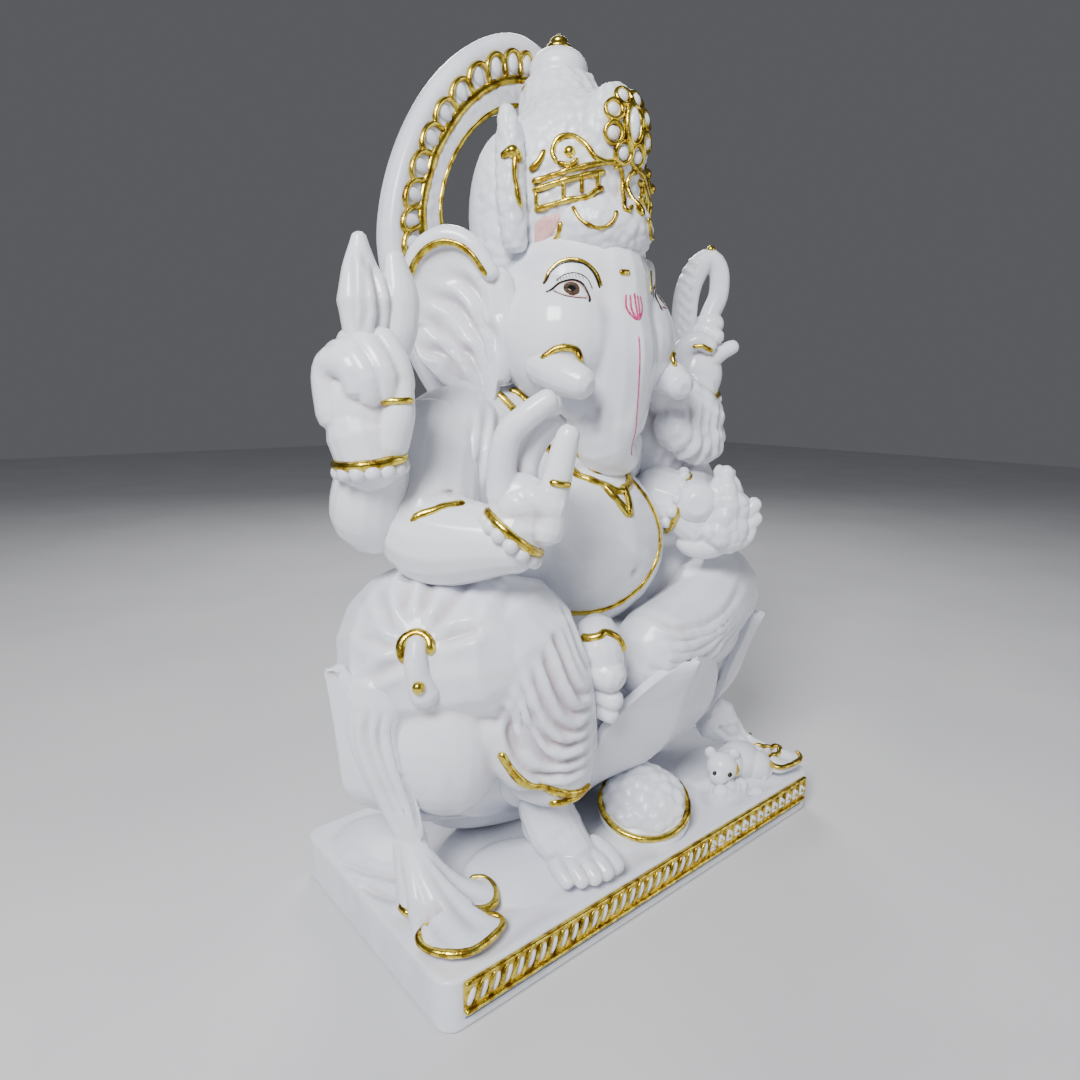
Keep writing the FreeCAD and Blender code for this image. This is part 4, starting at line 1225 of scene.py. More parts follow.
@dataclass
class Ear:
    """One broad ear: a cupped leaf with curved folds and a gilded line along its upper edge."""

    side: int
    hinge: Point = (67.0, 27.0, 298.0)
    turn: float = -49.0
    outline: tuple[tuple[float, float], ...] = (
        (-1, 20), (3, 32), (12, 41), (23, 45), (34, 39), (41, 27), (43, 10), (42, -6), (36, -19), (26, -28),
        (14, -35), (1, -40), (-3, -28), (-3, -6))

    def spot(self, out: float, up: float, forward: float = 0.0) -> Point:
        """A point on the ear's leaf, so far outwards, up and forward of its hinge."""
        swing = math.radians(self.turn)
        x, y, z = self.hinge
        across = out - 21
        reach = x + across * math.cos(swing) - forward * math.sin(swing)
        return (reach * self.side, y - across * math.sin(swing) - forward * math.cos(swing), z + up)

    def run(self, *rows: tuple[float, float], forward: float = 4.0) -> list[Point]:
        """Several points on the leaf's front."""
        return [self.spot(out, up, forward) for out, up in rows]

    def build(self) -> bpy.types.Object:
        """Makes the ear and returns it."""
        name = "left_ear" if self.side > 0 else "right_ear"
        edge = smooth_path([(out, 0.0, up) for out, up in self.outline], 2.5, closed=True)
        middle = np.array([20.0, 0.0, 2.0])
        rows = []
        shares = (1.0, 0.93, 0.84, 0.7, 0.52, 0.34, 0.17, 0.04)
        for share in shares:
            for out, _, up in middle + (edge - middle) * share:
                cup = (8.0 if up > 0 else 4.5) * share ** 2.2 if out > 4 else 3.0 * share
                rows.append(self.spot(out, up, cup - 3))
        faces = ring_faces(len(shares), len(edge), False, capped=False)
        faces.append([(len(shares) - 1) * len(edge) + index for index in range(len(edge))])
        sheet = mesh_piece(f"{name}_carved", np.array(rows), faces)
        apply_modifier(sheet, "SOLIDIFY", thickness=6 * MM, offset=0)
        clay = Clay(f"{name}_carved", 0.9).take(sheet)
        clay.limb([self.spot(-3, 22, -3), self.spot(-6, 0, -4), self.spot(-3, -24, -3)], [6, 8, 6])
        clay.limb(self.run((42, 20), (36, 34), (23, 41), (10, 37), (0, 24), forward=4), [4, 5, 5.5, 5, 4])
        carving = clay.fuse(4)
        swing = math.radians(self.turn)
        facing = (-math.sin(swing) * self.side, -math.cos(swing), 0.0)
        for fold in (((24, 24), (12, 17), (3, 2), (-1, -20)), ((33, 17), (19, 8), (7, -10), (0, -32)),
                     ((37, 6), (25, -2), (12, -17), (3, -35)), ((39, -6), (28, -14), (17, -25), (6, -37))):
            carving.groove(self.run(*fold), 2.6, 2.6, 0.6, 0.3, facing)
        ear = carving.finish(Finish.POLISHED, [name])
        brush = Brush(Skin(ear))
        brush.line(self.run((41, 19), (34, 31), (23, 37), (11, 33), (2, 21), forward=9), 3.6, 1.2)
        brush.gather(f"{name}_gilding", Finish.GOLD)
        return ear


@dataclass
class Crown:
    """The pebbled crown with its dome, gilded finial, front flower and side ribbons."""

    flower: Point = (0.0, -27.0, 391.0)

    def build(self) -> None:
        """Makes the crown's carved parts, then its gilding."""
        clay = Clay("crown_carved", 1.1)
        clay.limb([(0, 15, 354), (0, 16, 372), (0, 17, 391), (0, 22, 407)], [40, 42, 37, 24])
        clay.ball((0, -18, 388), (20, 12, 24)).ball((0, -6, 346), (30, 28, 20))
        for side in (-1, 1):
            clay.ball((30 * side, 30, 354), (19, 22, 42))
        carving = clay.fuse(8)
        smooth = Skin(carving.piece)
        carving.stipple(5.2, 1.9, lambda rows: np.clip((34 - rows[:, 1]) / 6, 0, 1))
        carving.finish(Finish.PITTED, ["crown"])
        dome = Clay("crown_dome_carved", 0.8).ball((0, 25, 420), (19, 19, 9)).ball((0, 25, 429), (15.5, 15.5, 11.5))
        dome_piece = place(dome.fuse(5).piece, Finish.POLISHED, ["crown_dome"])
        finial = Clay("crown_finial_leaf", 0.5).ball((0, 25, 440), (6.8, 6.8, 3.2)).ball((0, 25, 443), (4.8, 4.8, 3))
        finial.ball((0, 25, 445), (2.2, 2.2, 2.0))
        place(finial.fuse(2).piece, Finish.GOLD, ["crown_finial"])
        lobes = [self.ribbon(side) for side in (-1, 1)]
        self.gild(smooth, dome_piece, lobes)

    def ribbon(self, side: int) -> bpy.types.Object:
        """The upright pebbled lobe at the crown's side."""
        name = "left_ribbon" if side > 0 else "right_ribbon"
        clay = Clay(f"{name}_carved", 0.9)
        clay.limb([(42 * side, 8, 338), (44 * side, 8, 358), (44 * side, 9, 380), (44 * side, 11, 396)],
                  [6.5, 7.5, 7.5, 4.5])
        carving = clay.fuse(4)
        carving.stipple(4.6, 1.6)
        return carving.finish(Finish.PITTED, [name])

    def gild(self, skin: Skin, dome: bpy.types.Object, lobes: list[bpy.types.Object]) -> None:
        """The band with its oval windows, the scrolls, the flower, the drops and the ribbons' buttons."""
        band, flower, white, rose = (Brush(skin) for _ in range(4))
        collar = ring_path((0, 25, 419), (0, 0, 1), 19, 20)
        band.strokes += Brush(Skin(dome)).line(collar, 1.8, 1, closed=True).strokes
        x, y, z = self.flower
        for side, lobe in zip((-1, 1), lobes):
            def run(*rows: Point) -> list[Point]:
                """The points on this side of the crown."""
                return [(side * across, depth, height) for across, depth, height in rows]

            band.line(run((40, -1, 364), (30, -15, 368), (17, -24, 372), (8, -28, 373)), 3.0, 2.0)
            band.line(run((40, -1, 360), (27, -17, 365), (12, -26, 369)), 3.4, 2.2)
            band.line(run((39, -1, 351), (27, -17, 356), (13, -27, 362)), 3.2, 2.2)
            for post in ((38, -3, 355), (30, -14, 359), (23, -20, 362), (16, -24, 365)):
                foot = (post[0], post[1], post[2] - 3)
                band.line(run((post[0], post[1], post[2] + 5), post, foot), 2.4, 1.8)
            band.line(run((31, -11, 372), (33, -9, 377), (31, -10, 383), (26, -14, 385), (21, -18, 382),
                          (18, -22, 376), (13, -25, 373), (5, -28, 373)), 3.0, 2.0)
            band.line(run((31, -11, 372), (27, -15, 371), (24, -18, 374)), 2.8, 2.0)
            for spot in run((27, -15, 377)):
                band.spot(spot, (3.0, 3.0, 3.0))
            band.line(run((40, 0, 369), (37, -4, 373), (35, -6, 379)), 3.2, 2.2)
            band.line(run((8, -27, 370), (5, -28, 371), (2, -29, 366), (5, -33, 359), (7, -34, 353), (4, -35, 352),
                          (1, -35, 357)), 2.4, 1.8)
            band.line(run((25, -16, 352), (23, -20, 346), (17, -25, 343), (13, -30, 345), (11, -32, 351)), 2.2, 1.4)
            band.line(run((37, -2, 331), (35, -5, 333), (32, -8, 337), (29, -10, 341), (29, -12, 346)), 2.8, 1.7)
            rose.patch(run((37, 0, 346), (34, -5, 349), (29, -11, 349), (30, -8, 342), (34, -2, 336), (37, 3, 332)),
                       0.9)
            button = Brush(Skin(lobe))
            button.line(run((52, 6, 374), (50, 0, 377), (48, -4, 377), (46, -8, 373)), 4.0, 2.4)
            button.line(run((48, -4, 376), (48, -4, 366), (46, -6, 350)), 2.8, 1.8)
            for spot in run((49, -2, 376)):
                button.spot(spot, (3.4, 3.4, 3.0))
            band.strokes += button.strokes
        for turn in np.radians(np.arange(8) * 45 + 22.5):
            spot = (x + 13.5 * math.cos(turn), y - 4, z + 15 * math.sin(turn))
            loop = arc_points(spot, 5.6, 0, 330, 10, (math.cos(turn), 0, math.sin(turn)),
                              (-math.sin(turn), 0, math.cos(turn)), 0.9)
            flower.line(loop, 2.4, 2.2, closed=True)
            white.spot(spot, (3.2, 2.2, 3.2))
        flower.line(arc_points((x, y - 6, z), 5.0, 0, 330, 12, tall=1.9), 3.0, 3.0, closed=True)
        white.spot((x, y - 6, z), (3.6, 3.6, 8))
        band.gather("crown_band_gilding", Finish.GOLD, ["crown_band"])
        flower.gather("crown_flower_gilding", Finish.GOLD)
        rose.gather("crown_rose", Finish.ROSE)
        white.gather("crown_flower_petals", Finish.POLISHED, ["crown_flower"])


@dataclass
class Halo:
    """The upright arch behind the head, edged with a rope of beads in gilded loops."""

    centre: Point = (0.0, 60.0, 352.0)
    outer: tuple[float, float, float] = (88.0, 117.0, -12.0)
    inner: tuple[float, float, float] = (55.0, 60.0, 6.0)
    point: float = 1.7
    thick: float = 15.0
    beads: int = 21

    def at(self, angle: float, share: float, forward: float = 0.0) -> Point:
        """The point at an angle in degrees and a share of the way from the inner to the outer edge."""
        turn = math.radians(angle)
        wide, tall, rise = (low + (high - low) * share for low, high in zip(self.inner, self.outer))
        power = 2 / self.point
        across = math.copysign(abs(math.cos(turn)) ** power, math.cos(turn))
        up = math.copysign(abs(math.sin(turn)) ** power, math.sin(turn))
        x, y, z = self.centre
        return (x + wide * across, y - forward, z + rise + tall * up)

    def build(self) -> None:
        """Makes the arch, its beads and its gilding."""
        half = self.thick / 2
        profile = ((0.0, half - 2.5), (0.05, half), (0.3, half + 0.6), (0.42, half - 0.4), (0.74, half - 0.4),
                   (0.8, half + 0.8), (0.92, half - 0.5), (1.0, half - 4.5), (1.0, 4 - half), (0.93, -half),
                   (0.07, -half), (0.0, 3 - half))
        rings = np.array([[self.at(step * 3, share, forward) for share, forward in profile] for step in range(120)])
        arch = mesh_piece("halo_arch", rings.reshape(-1, 3), ring_faces(120, len(profile), True))
        clay = Clay("halo_arch", 1.5).take(arch).limb([(0, 55, 232), (0, 56, 262), (0, 58, 286)], [26, 24, 22], 0.5,
                                                       (0, 1, 0))
        carving = clay.fuse(4)
        x, _, z = self.centre

        def pebbles(rows: np.ndarray) -> np.ndarray:
            """One on the front band inside the beads, nothing elsewhere."""
            reach = np.hypot((rows[:, 0] - x) / 63, (rows[:, 2] - z) / 74)
            return np.clip(1 - np.abs(reach - 1) / 0.12, 0, 1) * (rows[:, 1] < self.centre[1])

        carving.stipple(4.2, 1.6, pebbles)
        halo = carving.finish(Finish.CARVED, ["halo"])
        skin = Skin(halo)
        gold, white, edge = Brush(skin), Brush(skin), Brush(skin)
        start, end = 192.0, -12.0
        step = (end - start) / self.beads
        for number in range(self.beads):
            middle = start + step * (number + 0.5)
            white.spot(self.at(middle, 0.585, half), (3.7, 2.8, 5.2), (0, 90 - middle, 0))
            low, high = middle - step * 0.5, middle + step * 0.5
            gold.line([self.at(low, 0.42, half), self.at(low, 0.6, half), self.at(low + step * 0.18, 0.7, half),
                       self.at(middle, 0.745, half), self.at(high - step * 0.18, 0.7, half),
                       self.at(high, 0.6, half), self.at(high, 0.42, half)], 2.9, 2.4)
        gold.line([self.at(angle, 0.38, half) for angle in np.linspace(start + 3, end - 3, 36)], 5.0, 1.3)
        for angle in (start, end):
            gold.line([self.at(angle, 0.5, half), self.at(angle + (4 if angle > 0 else -4), 0.56, half),
                       self.at(angle + (14 if angle > 0 else -14), 0.56, half)], 3.6, 1.8)
        edge.line([self.at(angle, 0.04, half) for angle in np.linspace(200, -20, 40)], 3.0, 1.4)
        white.gather("halo_beads", Finish.POLISHED)
        gold.gather("halo_bead_gilding", Finish.GOLD, ["halo_scallops"])
        edge.gather("halo_edge_gilding", Finish.GOLD, ["halo_inner_line"])


# ------------------------------------------------------------------ the arms and hands


@dataclass
class Arms:
    """Four arms, their shawls, hands, bracelets and what they hold."""

    bangles: list[bpy.types.Object] = field(default_factory=list)

    def build(self) -> None:
        """Makes every arm and hand."""
        upper_right = self.arm("upper_right_arm", [(-62, 27, 246), (-118, 13, 210), (-127, -4, 241)], [22, 20, 14])
        lower_right = self.arm("lower_right_arm", [(-84, 18, 240), (-100, -4, 202), (-84, -44, 200)], [24, 25, 14])
        self.arm("upper_left_arm", [(60, 28, 248), (90, 15, 232), (101, 12, 238), (105, 10, 262)], [22, 20, 15, 12])
        self.arm("lower_left_arm", [(80, 18, 238), (88, 0, 206), (58, -32, 204)], [23, 20, 13])
        self.shawl(-1, lower_right)
        self.shawl(1, None)
        self.upper_right_hand()
        self.lower_right_hand()
        self.upper_left_hand()
        self.lower_left_hand()
        band = Brush(Skin(upper_right))
        band.line([(-122, 0, 206), (-112, -6, 210), (-102, -8, 214)], 4.2, 1.4)
        self.bangles += band.strokes
        place(join("bracelet_gilding", self.bangles), Finish.GOLD, ["gold_bracelets"])

    def arm(self, name: str, course: Path, radii: Sequence[float]) -> bpy.types.Object:
        """One bare arm, plump at the shoulder and fine at the wrist."""
        carving = Clay(f"{name}_carved", 1.2).limb(course, radii).fuse(6)
        return carving.finish(Finish.POLISHED, [name])

    def shawl(self, side: int, arm: bpy.types.Object | None) -> None:
        """The cloth over one shoulder, with long folds falling to the elbow."""
        name = "left_shawl" if side > 0 else "right_shawl"
        clay = Clay(f"{name}_carved", 1.2).ball((72 * side, 20, 230), (33, 29, 38))
        clay.limb([(60 * side, 24, 258), (76 * side, 20, 246), (88 * side, 2, 224)], [14, 16, 14])
        if side > 0:
            clay.limb([(58, -6, 268), (74, -14, 254), (92, -8, 250)], [15, 17, 13])
            clay.limb([(60, -14, 246), (76, -16, 238), (92, -10, 240)], [14, 15, 12])
        carving = clay.fuse(8)
        facing = Local((0.0, 0.0, 0.0)).towards if side < 0 else (0.0, -1.0, 0.0)
        for number in range(5):
            lean = 8 * number
            carving.groove([(side * (56 + lean), -20, 266 - 2 * number), (side * (58 + lean), -20, 244),
                            (side * (56 + lean * 1.3), -20, 216)], 2.4, 1.9, 0.4, 0.25, facing)
        if side > 0:
            carving.stipple(8.5, 1.8)
        piece = carving.finish(Finish.CARVED, [name])
        if arm is not None:
            brush = Brush(Skin(piece, arm))
            brush.line([(-113, -14, 208), (-105, -22, 213), (-97, -28, 219)], 3.8, 1.4)
            self.bangles += brush.strokes

    def bangle(self, hand: bpy.types.Object, centre: Point, axis: Point, radius: float,
               cuff: float, cuff_name: str, width: float = 4.6) -> None:
        """A gilded bangle with a scalloped white cuff beside it.

        Args:
            hand: the hand that it is on.
            centre: the wrist's middle.
            axis: the direction from the arm to the hand.
            radius: the ring's radius before it is laid on the skin.
            cuff: how far behind the bangle the cuff's beads sit.
            cuff_name: the cuff's name.
            width: the bangle's width.
        """
        skin = Skin(hand)
        gold = Brush(skin).line(ring_path(centre, axis, radius), width, 2.4, closed=True)
        self.bangles += gold.strokes
        back = np.array(centre) - unit(np.array(axis, float)) * cuff
        beads = Brush(skin)
        for spot in ring_path(tuple(back), axis, radius, 13):
            beads.spot(spot, (3.6, 3.6, 3.6))
        beads.gather(cuff_name, Finish.CARVED)

    def upper_right_hand(self) -> None:
        """The raised right hand, closed round the stem of a lotus bud."""
        hand = Local((-134.0, -6.0, 262.0))
        clay = Clay("upper_right_hand_carved", 0.8).ball(hand.at(0, -4), (17, 13, 19), hand.turn)
        clay.limb(hand.path((-10, -6, 3), (-12, 9, 2), (-8, 15, 6), (0, 12, 10), (2, 5, 11)), [8, 7.4, 7, 7, 6])
        clay.limb(hand.path((-8, 18, 2), (-1, 18, 8), (6, 9, 12), (7, 2, 11)), [6, 6, 6, 5.4])
        clay.limb(hand.path((-3, 23, 0), (5, 21, 6), (12, 11, 10), (13, 3, 9)), [6, 6, 5.8, 5.2])
        clay.limb(hand.path((1, 26, -3), (10, 24, 2), (17, 14, 5), (19, 6, 4)), [5.5, 5.6, 5.4, 5])
        clay.limb(hand.path((13, -18, 4), (17, -6, 6), (18, 5, 5)), [8, 7, 5.6])
        clay.limb(hand.path((3, -26, 0), (0, -14, 0)), [14, 15])
        piece = clay.fuse(4).finish(Finish.POLISHED, ["upper_right_hand"], 1.3)
        self.bangle(piece, hand.at(4, -26), (-0.1, 0, 1), 15, 3.5, "upper_right_cuff")
        ring = hand.path((11, -1, 10), (17, -0.6, 13), (24, -0.4, 8))
        self.bangles += Brush(Skin(piece)).line(ring, 3, 1.5).strokes
        bud = Clay("lotus_bud_carved", 0.8)
        bud.limb(hand.path((2, 16, 0), (3, 30, 0), (3, 40, 0), (2, 52, 0), (2, 63, 0)), [7, 9.5, 11, 7.4, 3.4])
        bud.limb(hand.path((11, 8, -6), (16, 28, -6), (17, 42, -6), (15, 56, -6)), [5, 8, 8, 4.5], 0.8)
        carving = bud.fuse(3)
        carving.groove(hand.path((3, 24, 12), (4, 40, 12), (2.5, 60, 6)), 1.6, -1.5, 0.4, 0.2)
        carving.groove(hand.path((11, 22, 12), (13, 40, 10), (9, 56, 8)), 1.8, 2.2, 0.4, 0.2, hand.towards)
        carving.finish(Finish.POLISHED, ["lotus_bud"])

    def lower_right_hand(self) -> None:
        """The right hand raised in blessing."""
        hand = Local((-80.0, -54.0, 222.0))
        clay = Clay("lower_right_hand_carved", 0.8).ball(hand.at(-5, -7), (14, 9, 17), hand.turn)
        clay.limb(hand.path((-13, 0, 0), (-13, 14, 1), (-10, 26, 2), (-2, 34, 3), (6, 40, 3)), [6.8, 6.4, 6, 5.6, 5])
        clay.limb(hand.path((-10, 0, -6), (-10, 14, -8), (-6, 27, -8), (2, 35, -7), (8, 38, -6)), [6, 6, 6, 5.4, 5])
        clay.limb(hand.path((-4, 2, -7), (-3, 14, -9), (2, 24, -9), (8, 30, -8)), [6, 6, 5.8, 5])
        clay.limb(hand.path((6, -14, 1), (10, 5, 2), (13, 19, 2), (15, 26, 2)), [8.4, 6.4, 5.8, 5])
        clay.limb(hand.path((-8, -4, 2), (0, -2, 3), (8, -4, 2)), [8, 8, 8])
        clay.limb(hand.path((-10, -24, -8), (-7, -14, -3)), [13, 14])
        carving = clay.fuse(4)
        carving.groove(hand.path((-8, 6, 9), (0, -4, 12), (6, -16, 10)), 2, 1.0, 0.3, 0.3)
        piece = carving.finish(Finish.POLISHED, ["lower_right_hand"], 1.3)
        self.bangle(piece, hand.at(-11, -16, -5), (0.38, -0.2, 0.55), 15, 4, "lower_right_cuff")
        self.bangles += Brush(Skin(piece)).line(hand.path((7, 7, 8), (12, 6, 10), (18, 5, 6)), 3, 1.5).strokes

    def upper_left_hand(self) -> None:
        """The raised left hand with a rope noose."""
        hand = Local((107.0, 8.0, 280.0))
        clay = Clay("upper_left_hand_carved", 0.8).ball(hand.at(-2, -3), (16, 12, 19), hand.turn)
        clay.limb(hand.path((-12, -2, 3), (-12, 12, 6), (-4, 17, 9), (3, 14, 10)), [7, 6.8, 6, 5])
        clay.limb(hand.path((-6, 18, -2), (1, 24, 2), (8, 20, 6)), [6.5, 6.5, 5])
        clay.ball(hand.at(5, 28), (8.5, 7, 7.5), hand.turn)
        clay.limb(hand.path((5, 6, 4), (13, 11, 3), (19, 14, 3)), [6.5, 5, 4.4])
        clay.limb(hand.path((-3, -26, 0), (-3, -12, 0)), [13, 15])
        piece = clay.fuse(4).finish(Finish.POLISHED, ["upper_left_hand"], 1.3)
        self.bangle(piece, hand.at(-4, -18), (-0.38, 0, 1), 14, 3.5, "upper_left_cuff", 3.8)
        self.bangles += Brush(Skin(piece)).line(hand.path((-8, 14, 12), (-2, 14, 14), (4, 12, 12)), 3, 1.6).strokes
        rope = Clay("noose_loop_carved", 0.8)
        rope.limb(hand.path((-10, 10, -2), (-11.5, 28, -2), (-10, 48, -2), (-4, 62, -2), (3, 67, -2), (9, 60, -2),
                            (9.5, 46, -2), (5, 34, -2), (1, 22, -1)), [8, 8, 8, 7.4, 6.6, 6.2, 6.2, 6.2, 6.4])
        carving = rope.fuse(4)
        for number in range(9):
            low = 8 + 7 * number
            carving.groove(hand.path((-19, low + 5, 0), (-11, low, 0), (-4, low - 4, 0)), 1.6, 1.4, 0.4, 0.3,
                           hand.towards)
        noose = carving.finish(Finish.POLISHED, ["noose_loop"])
        self.bangles += Brush(Skin(noose)).spot(hand.at(3, 73), (2.6, 2.6, 2.4)).strokes

    def lower_left_hand(self) -> None:
        """The left hand with a heap of sweets."""
        hand = Local((76.0, -37.0, 198.0))
        clay = Clay("lower_left_hand_carved", 0.8).ball(hand.at(-10, -20), (16, 13, 9), hand.turn)
        for up, across in ((5, 17), (-3, 18), (-10, 15)):
            clay.limb(hand.path((4, up - 10, 4), (12, up - 5, 8), (across, up, 8)), [5.4, 5, 4.4])
        clay.limb(hand.path((-36, 6, -9), (-25, 3, -5), (-14, -7, 0)), [19, 18, 15])
        piece = clay.fuse(4).finish(Finish.POLISHED, ["lower_left_hand"], 1.3)
        heap = Clay("sweets_in_hand_carved", 0.9)
        heap.limb(hand.path((0, -9, 5), (0, 7, 5), (0, 20, 4)), [16, 14, 7])
        carving = heap.fuse(3)
        carving.stipple(8.5, 4.2)
        carving.finish(Finish.CARVED, ["sweets_in_hand"])
        self.bangle(piece, hand.at(-26, 3, -5), (0.62, -0.6, -0.35), 21, 3, "lower_left_cuff", 4)


# ------------------------------------------------------------------ the cloth ends and the offerings


@dataclass
class Sashes:
    """The two cloth ends that fall from the hips and spread over the plinth in gilded tongues."""

    right_hem: tuple[tuple[float, float], ...] = (
        (-120, -10), (-128, -17), (-131, -26), (-128, -32), (-120, -37), (-121, -42), (-134, -45), (-136, -52),
        (-132, -60), (-123, -66), (-111, -65), (-102, -60), (-108, -52), (-108, -45), (-100, -49), (-93, -42),
        (-91, -32), (-97, -27))
    left_hem: tuple[tuple[float, float], ...] = (
        (138, -26), (121, -37), (122, -45), (136, -50), (127, -56), (115, -56), (110, -62), (113, -68),
        (130, -69), (137, -62))

    def build(self) -> None:
        """Makes both cloth ends and the knot, and gilds them."""
        gold: list[bpy.types.Object] = []
        course = [(-132, -8, 128), (-134, -6, 112), (-132, -9, 96), (-128, -12, 80), (-124, -17, 62)]
        right = self.cloth("right_sash", self.right_hem, (-125, -18, 60), 29, course)
        gold += Brush(Skin(right)).line([(x, y, 30) for x, y in self.right_hem], 4.0, 2.6).strokes
        left = self.cloth("left_sash", self.left_hem, (116, -30, 40), 32, [(104, -22, 52), (114, -30, 40)])
        gold += Brush(Skin(left)).line([(x, y, 34) for x, y in self.left_hem], 3.4, 2.2).strokes
        hip = Local((-122.0, -26.0, 155.0))
        knot = Clay("right_knot", 0.8)
        knot.limb(hip.path((0, 2, 1), (0, -5, 4), (1, -12, 4), (3, -20, 2)), [4.6, 5.2, 5.4, 7])
        piece = place(knot.fuse(3).piece, Finish.CARVED)
        gold += Brush(Skin(piece)).spot(hip.at(2.5, -14.5, 12), (3, 2.6, 3)).strokes
        place(join("sash_hem_gilding", gold), Finish.GOLD)

    def cloth(self, name: str, hem: Sequence[tuple[float, float]], neck: Point, low: float,
              course: Path) -> bpy.types.Object:
        """One cloth end: a narrow fall, then a folded fan that ends in its hem.

        Args:
            name: the CAD solid it stands for.
            hem: where the hem lies on the plinth, from one side to the other.
            neck: where the fan begins.
            low: the hem's height.
            course: the middle of the fall above the fan.

        Returns:
            The finished piece.
        """
        edge = smooth_path([(x, y, low) for x, y in hem], 1.6)
        bound = np.vstack([edge[:, :2], np.array(neck)[:2] + 5, np.array(neck)[:2] - 5])
        follow = np.roll(bound, -1, axis=0)
        rows = 15
        count = len(edge)
        spread = np.linspace(-6, 6, count)
        points = []
        for row in range(rows):
            share = row / (rows - 1)
            for column in range(count):
                start = np.array(neck) + np.array([0.76, -0.65, 0]) * spread[column]
                spot = start + (edge[column] - start) * share
                spot[2] = low + (neck[2] - low) * (1 - share) ** 2.2
                spot[2] += 2.6 * math.sin(column * 0.5) * math.sin(math.pi * min(1, share * 1.05)) * share
                rising = (bound[:, 1] > spot[1]) != (follow[:, 1] > spot[1])
                lean = (follow[:, 0] - bound[:, 0]) / np.where(rising, follow[:, 1] - bound[:, 1], 1.0)
                crossed = rising & (spot[0] < bound[:, 0] + (spot[1] - bound[:, 1]) * lean)
                if share > 0.45 and share < 0.999 and crossed.sum() % 2 == 0:
                    spot[2] -= 9
                points.append(spot)
        faces = [[row * count + column, row * count + column + 1, (row + 1) * count + column + 1,
                  (row + 1) * count + column] for row in range(rows - 1) for column in range(count - 1)]
        sheet = mesh_piece("sheet", np.array(points), faces)
        apply_modifier(sheet, "SOLIDIFY", thickness=4.5 * MM, offset=0)
        clay = Clay(f"{name}_carved", 0.9).take(sheet)
        clay.limb(course, np.linspace(15, 7.5, len(course)), 0.55, (-0.6, -0.7, 0.2))
        carving = clay.fuse(4, floor=BED)
        for share in (-0.6, -0.1, 0.4, 0.8):
            carving.groove([(x + 8 * share, y - 8 * share - 8, z) for x, y, z in course], 1.8, 1.6, 0.5, 0.2)
        return carving.finish(Finish.CARVED, [name])


@dataclass
class Offerings:
    """The plate of sweets and the mouse in front of the seat."""

    plate: Point = (12.0, -42.0, 40.0)
    radius: float = 26.0
    lean: float = 26.0

    def build(self) -> None:
        """Makes the plate, its sweets and the mouse."""
        self.dish()
        self.mouse()

    def dish(self) -> None:
        """The leaning plate: a gilded rim round a heap of little sweets."""
        view = Local(self.plate)
        lean = math.radians(self.lean)
        tilt = (self.lean, 0.0, view.turn[2])
        radius = self.radius
        plate = Clay("plate_carved", 1.0).ball(view.at(0, -6, 2), (radius, radius, 9), tilt)
        plate.ball(view.at(0, -8, -12), (24, 20, 14), tilt)
        dish = plate.fuse(3, floor=BED).finish(Finish.CARVED, ["sweets_plate"])
        heap = Clay("plate_heap", 1.0).ball(view.at(0, -1, 0), (radius - 2.5, radius - 2.5, 11), tilt)
        carving = heap.fuse(3)
        carving.stipple(6.4, 3.0)
        carving.finish(Finish.CARVED, ["plate_sweets"])
        turns = np.radians(np.linspace(0, 350, 26))
        ring = view.path(*((radius * math.cos(a), radius * math.sin(a) * math.sin(lean),
                            -radius * math.sin(a) * math.cos(lean)) for a in turns))
        rim = Brush(Skin(dish))
        rim.line(ring, 3.8, 2.6, closed=True)
        rim.gather("plate_rim_gilding", Finish.GOLD, ["plate_rim"])

    def mouse(self) -> None:
        """The small mouse, couched and nibbling a sweet."""
        clay = Clay("mouse_carved", 0.7).ball((98, -44, 33), (18, 13, 13)).ball((106, -53, 31), (11, 9, 10))
        head = Local((76.0, -48.0, 39.0))
        clay.ball(head.at(0, 0, 0), (9.6, 9, 9), head.turn).ball(head.at(-3, -3, 6), (6, 5, 5), head.turn)
        clay.ball((86, -46, 36), (10, 9, 10)).ball(head.at(1, -14, 2), (9, 8, 8), head.turn)
        clay.limb(head.path((12, -12, 0), (8, -16, 5), (2, -13, 9)), [4.4, 4, 3.4])
        clay.limb(head.path((22, -16, 4), (14, -20, 8), (6, -21, 9)), [4.8, 4.4, 3.6])
        clay.limb([(112, -42, 30), (120, -46, 28), (116, -56, 27), (104, -60, 27)], [4.5, 3.6, 3, 2.4])
        clay.ball(head.at(-7, 8, -3), (3.4, 2.4, 3.6), head.turn).ball(head.at(8, 7, -3), (3.4, 2.4, 3.8), head.turn)
        clay.ball(head.at(-2, -12, 9), (5, 4.6, 4.6), head.turn)
        carving = clay.fuse(3, floor=BED + 0.2)
        carving.groove(head.path((12, -4, 6), (13, -12, 6), (10, -22, 8)), 1.6, 1.5)
        carving.groove(head.path((-8, -5, 10), (-3, -7, 13), (3, -6, 10)), 0.8, 0.6)
        mouse = carving.finish(Finish.CARVED, ["mouse"], 1.3)
        skin = Skin(mouse)
        eyes = Brush(skin).spot(head.at(-6.5, 0.5, 9), (1.3, 1.3, 1.4)).spot(head.at(3.5, -1, 9.5), (1.5, 1.4, 1.6))
        eyes.gather("mouse_eyes", Finish.BLACK)
        gold = Brush(skin).line(head.path((8, 3, 4), (10, -1, 4), (9, -5, 5)), 2.4, 1.3)
        gold.gather("mouse_gilding", Finish.GOLD)


# ------------------------------------------------------------------ the studio


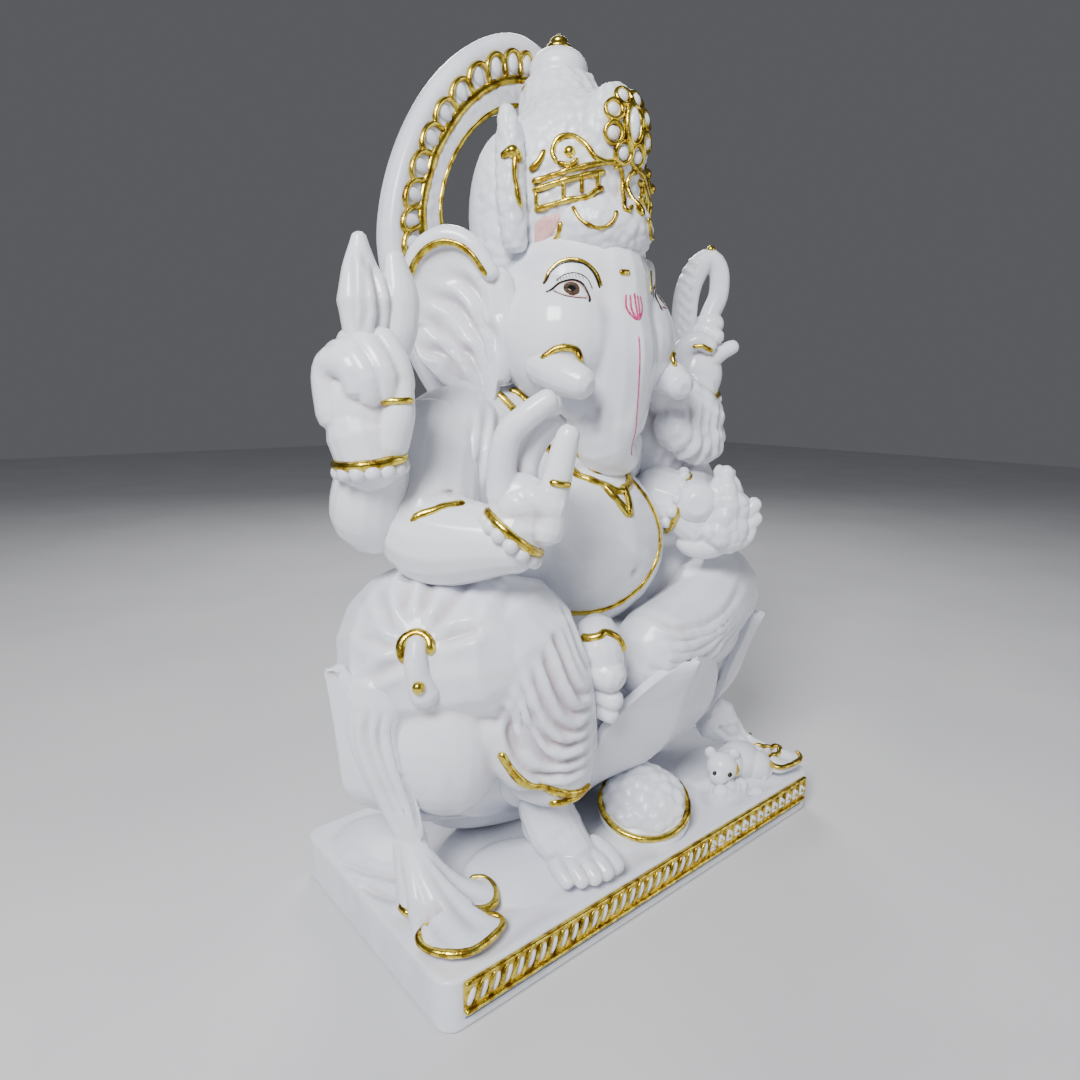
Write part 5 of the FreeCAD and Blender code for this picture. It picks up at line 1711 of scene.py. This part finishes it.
@dataclass
class Studio:
    """A plain pale floor, soft lights and the camera."""

    floor_colour: str = "#cfcfd2"
    floor_light: str = "#d8d8da"
    room_colour: str = "#a9abb1"
    room_strength: float = 0.27
    floor_size: float = 6.0
    lens: float = 24.465
    shift: tuple[float, float] = (-0.01478, -0.0042)
    camera_at: Point = (-275.4, -296.5, 266.7)
    azimuth: float = 40.74
    pitch: float = 11.26
    roll: float = 0.61

    def build(self) -> None:
        """Lays the floor, hangs the lights and sets the camera."""
        self.floor()
        self.light("key_light", (-760, -420, 900), (0, 0, 220), 420, 19)
        self.light("fill_light", (650, -900, 420), (0, 0, 220), 800, 3.2)
        self.light("rim_light", (500, 800, 900), (0, 0, 250), 600, 7)
        world = bpy.data.worlds.new("soft_grey_room")
        world.use_nodes = True
        background = world.node_tree.nodes["Background"]
        background.inputs["Color"].default_value = linear(self.room_colour)
        background.inputs["Strength"].default_value = self.room_strength
        bpy.context.scene.world = world
        self.camera()

    def floor(self) -> None:
        """The floor, with a matt painted finish."""
        bpy.ops.mesh.primitive_plane_add(size=self.floor_size, location=(0, 0, -0.0005))
        floor = settle(bpy.context.active_object)
        floor.name = "studio_floor"
        material, tree, coordinates = start_material("matt_floor_paint")
        mottle = add_noise(tree, coordinates, 160.0, 3.0)
        colour = ramp(tree, mottle, ((0.3, self.floor_colour), (0.8, self.floor_light)))
        shader = add_node(tree, "ShaderNodeBsdfPrincipled", {"Roughness": 0.8}, {"Base Color": colour})
        close_material(tree, shader)
        floor.data.materials.append(material)

    def light(self, name: str, spot: Point, aim: Point, size: float, power: float) -> None:
        """One soft area light, aimed at a point."""
        lamp = bpy.data.lights.new(name, "AREA")
        lamp.shape = "DISK"
        lamp.size = size * MM
        lamp.energy = power
        holder = bpy.data.objects.new(name, lamp)
        holder.location = Vector(spot) * MM
        holder.rotation_euler = (Vector(aim) - Vector(spot)).to_track_quat("-Z", "Y").to_euler()
        bpy.context.scene.collection.objects.link(holder)

    def camera(self) -> None:
        """The camera: slightly above the idol's middle, off its right front."""
        view = bpy.data.cameras.new("camera")
        view.lens = self.lens
        view.sensor_width = 36.0
        view.shift_x, view.shift_y = self.shift
        holder = bpy.data.objects.new("camera", view)
        holder.location = Vector(self.camera_at) * MM
        turn = Euler((math.radians(90 - self.pitch), 0, math.radians(-self.azimuth)))
        holder.rotation_euler = (turn.to_matrix() @ Euler((0, 0, math.radians(self.roll))).to_matrix()).to_euler()
        bpy.context.scene.collection.objects.link(holder)
        bpy.context.scene.camera = holder


def main() -> None:
    """Builds the idol from the plinth up, then the studio."""
    logging.basicConfig(level=logging.INFO, format="%(message)s")
    random.seed(7)
    np.random.seed(7)
    Plinth().build()
    LotusSeat().build()
    Legs().build()
    Torso().build()
    Head().build()
    Ear(-1).build()
    Ear(1).build()
    Crown().build()
    Halo().build()
    Arms().build()
    Sashes().build()
    Offerings().build()
    Studio().build()


if __name__ == "__main__":
    main()
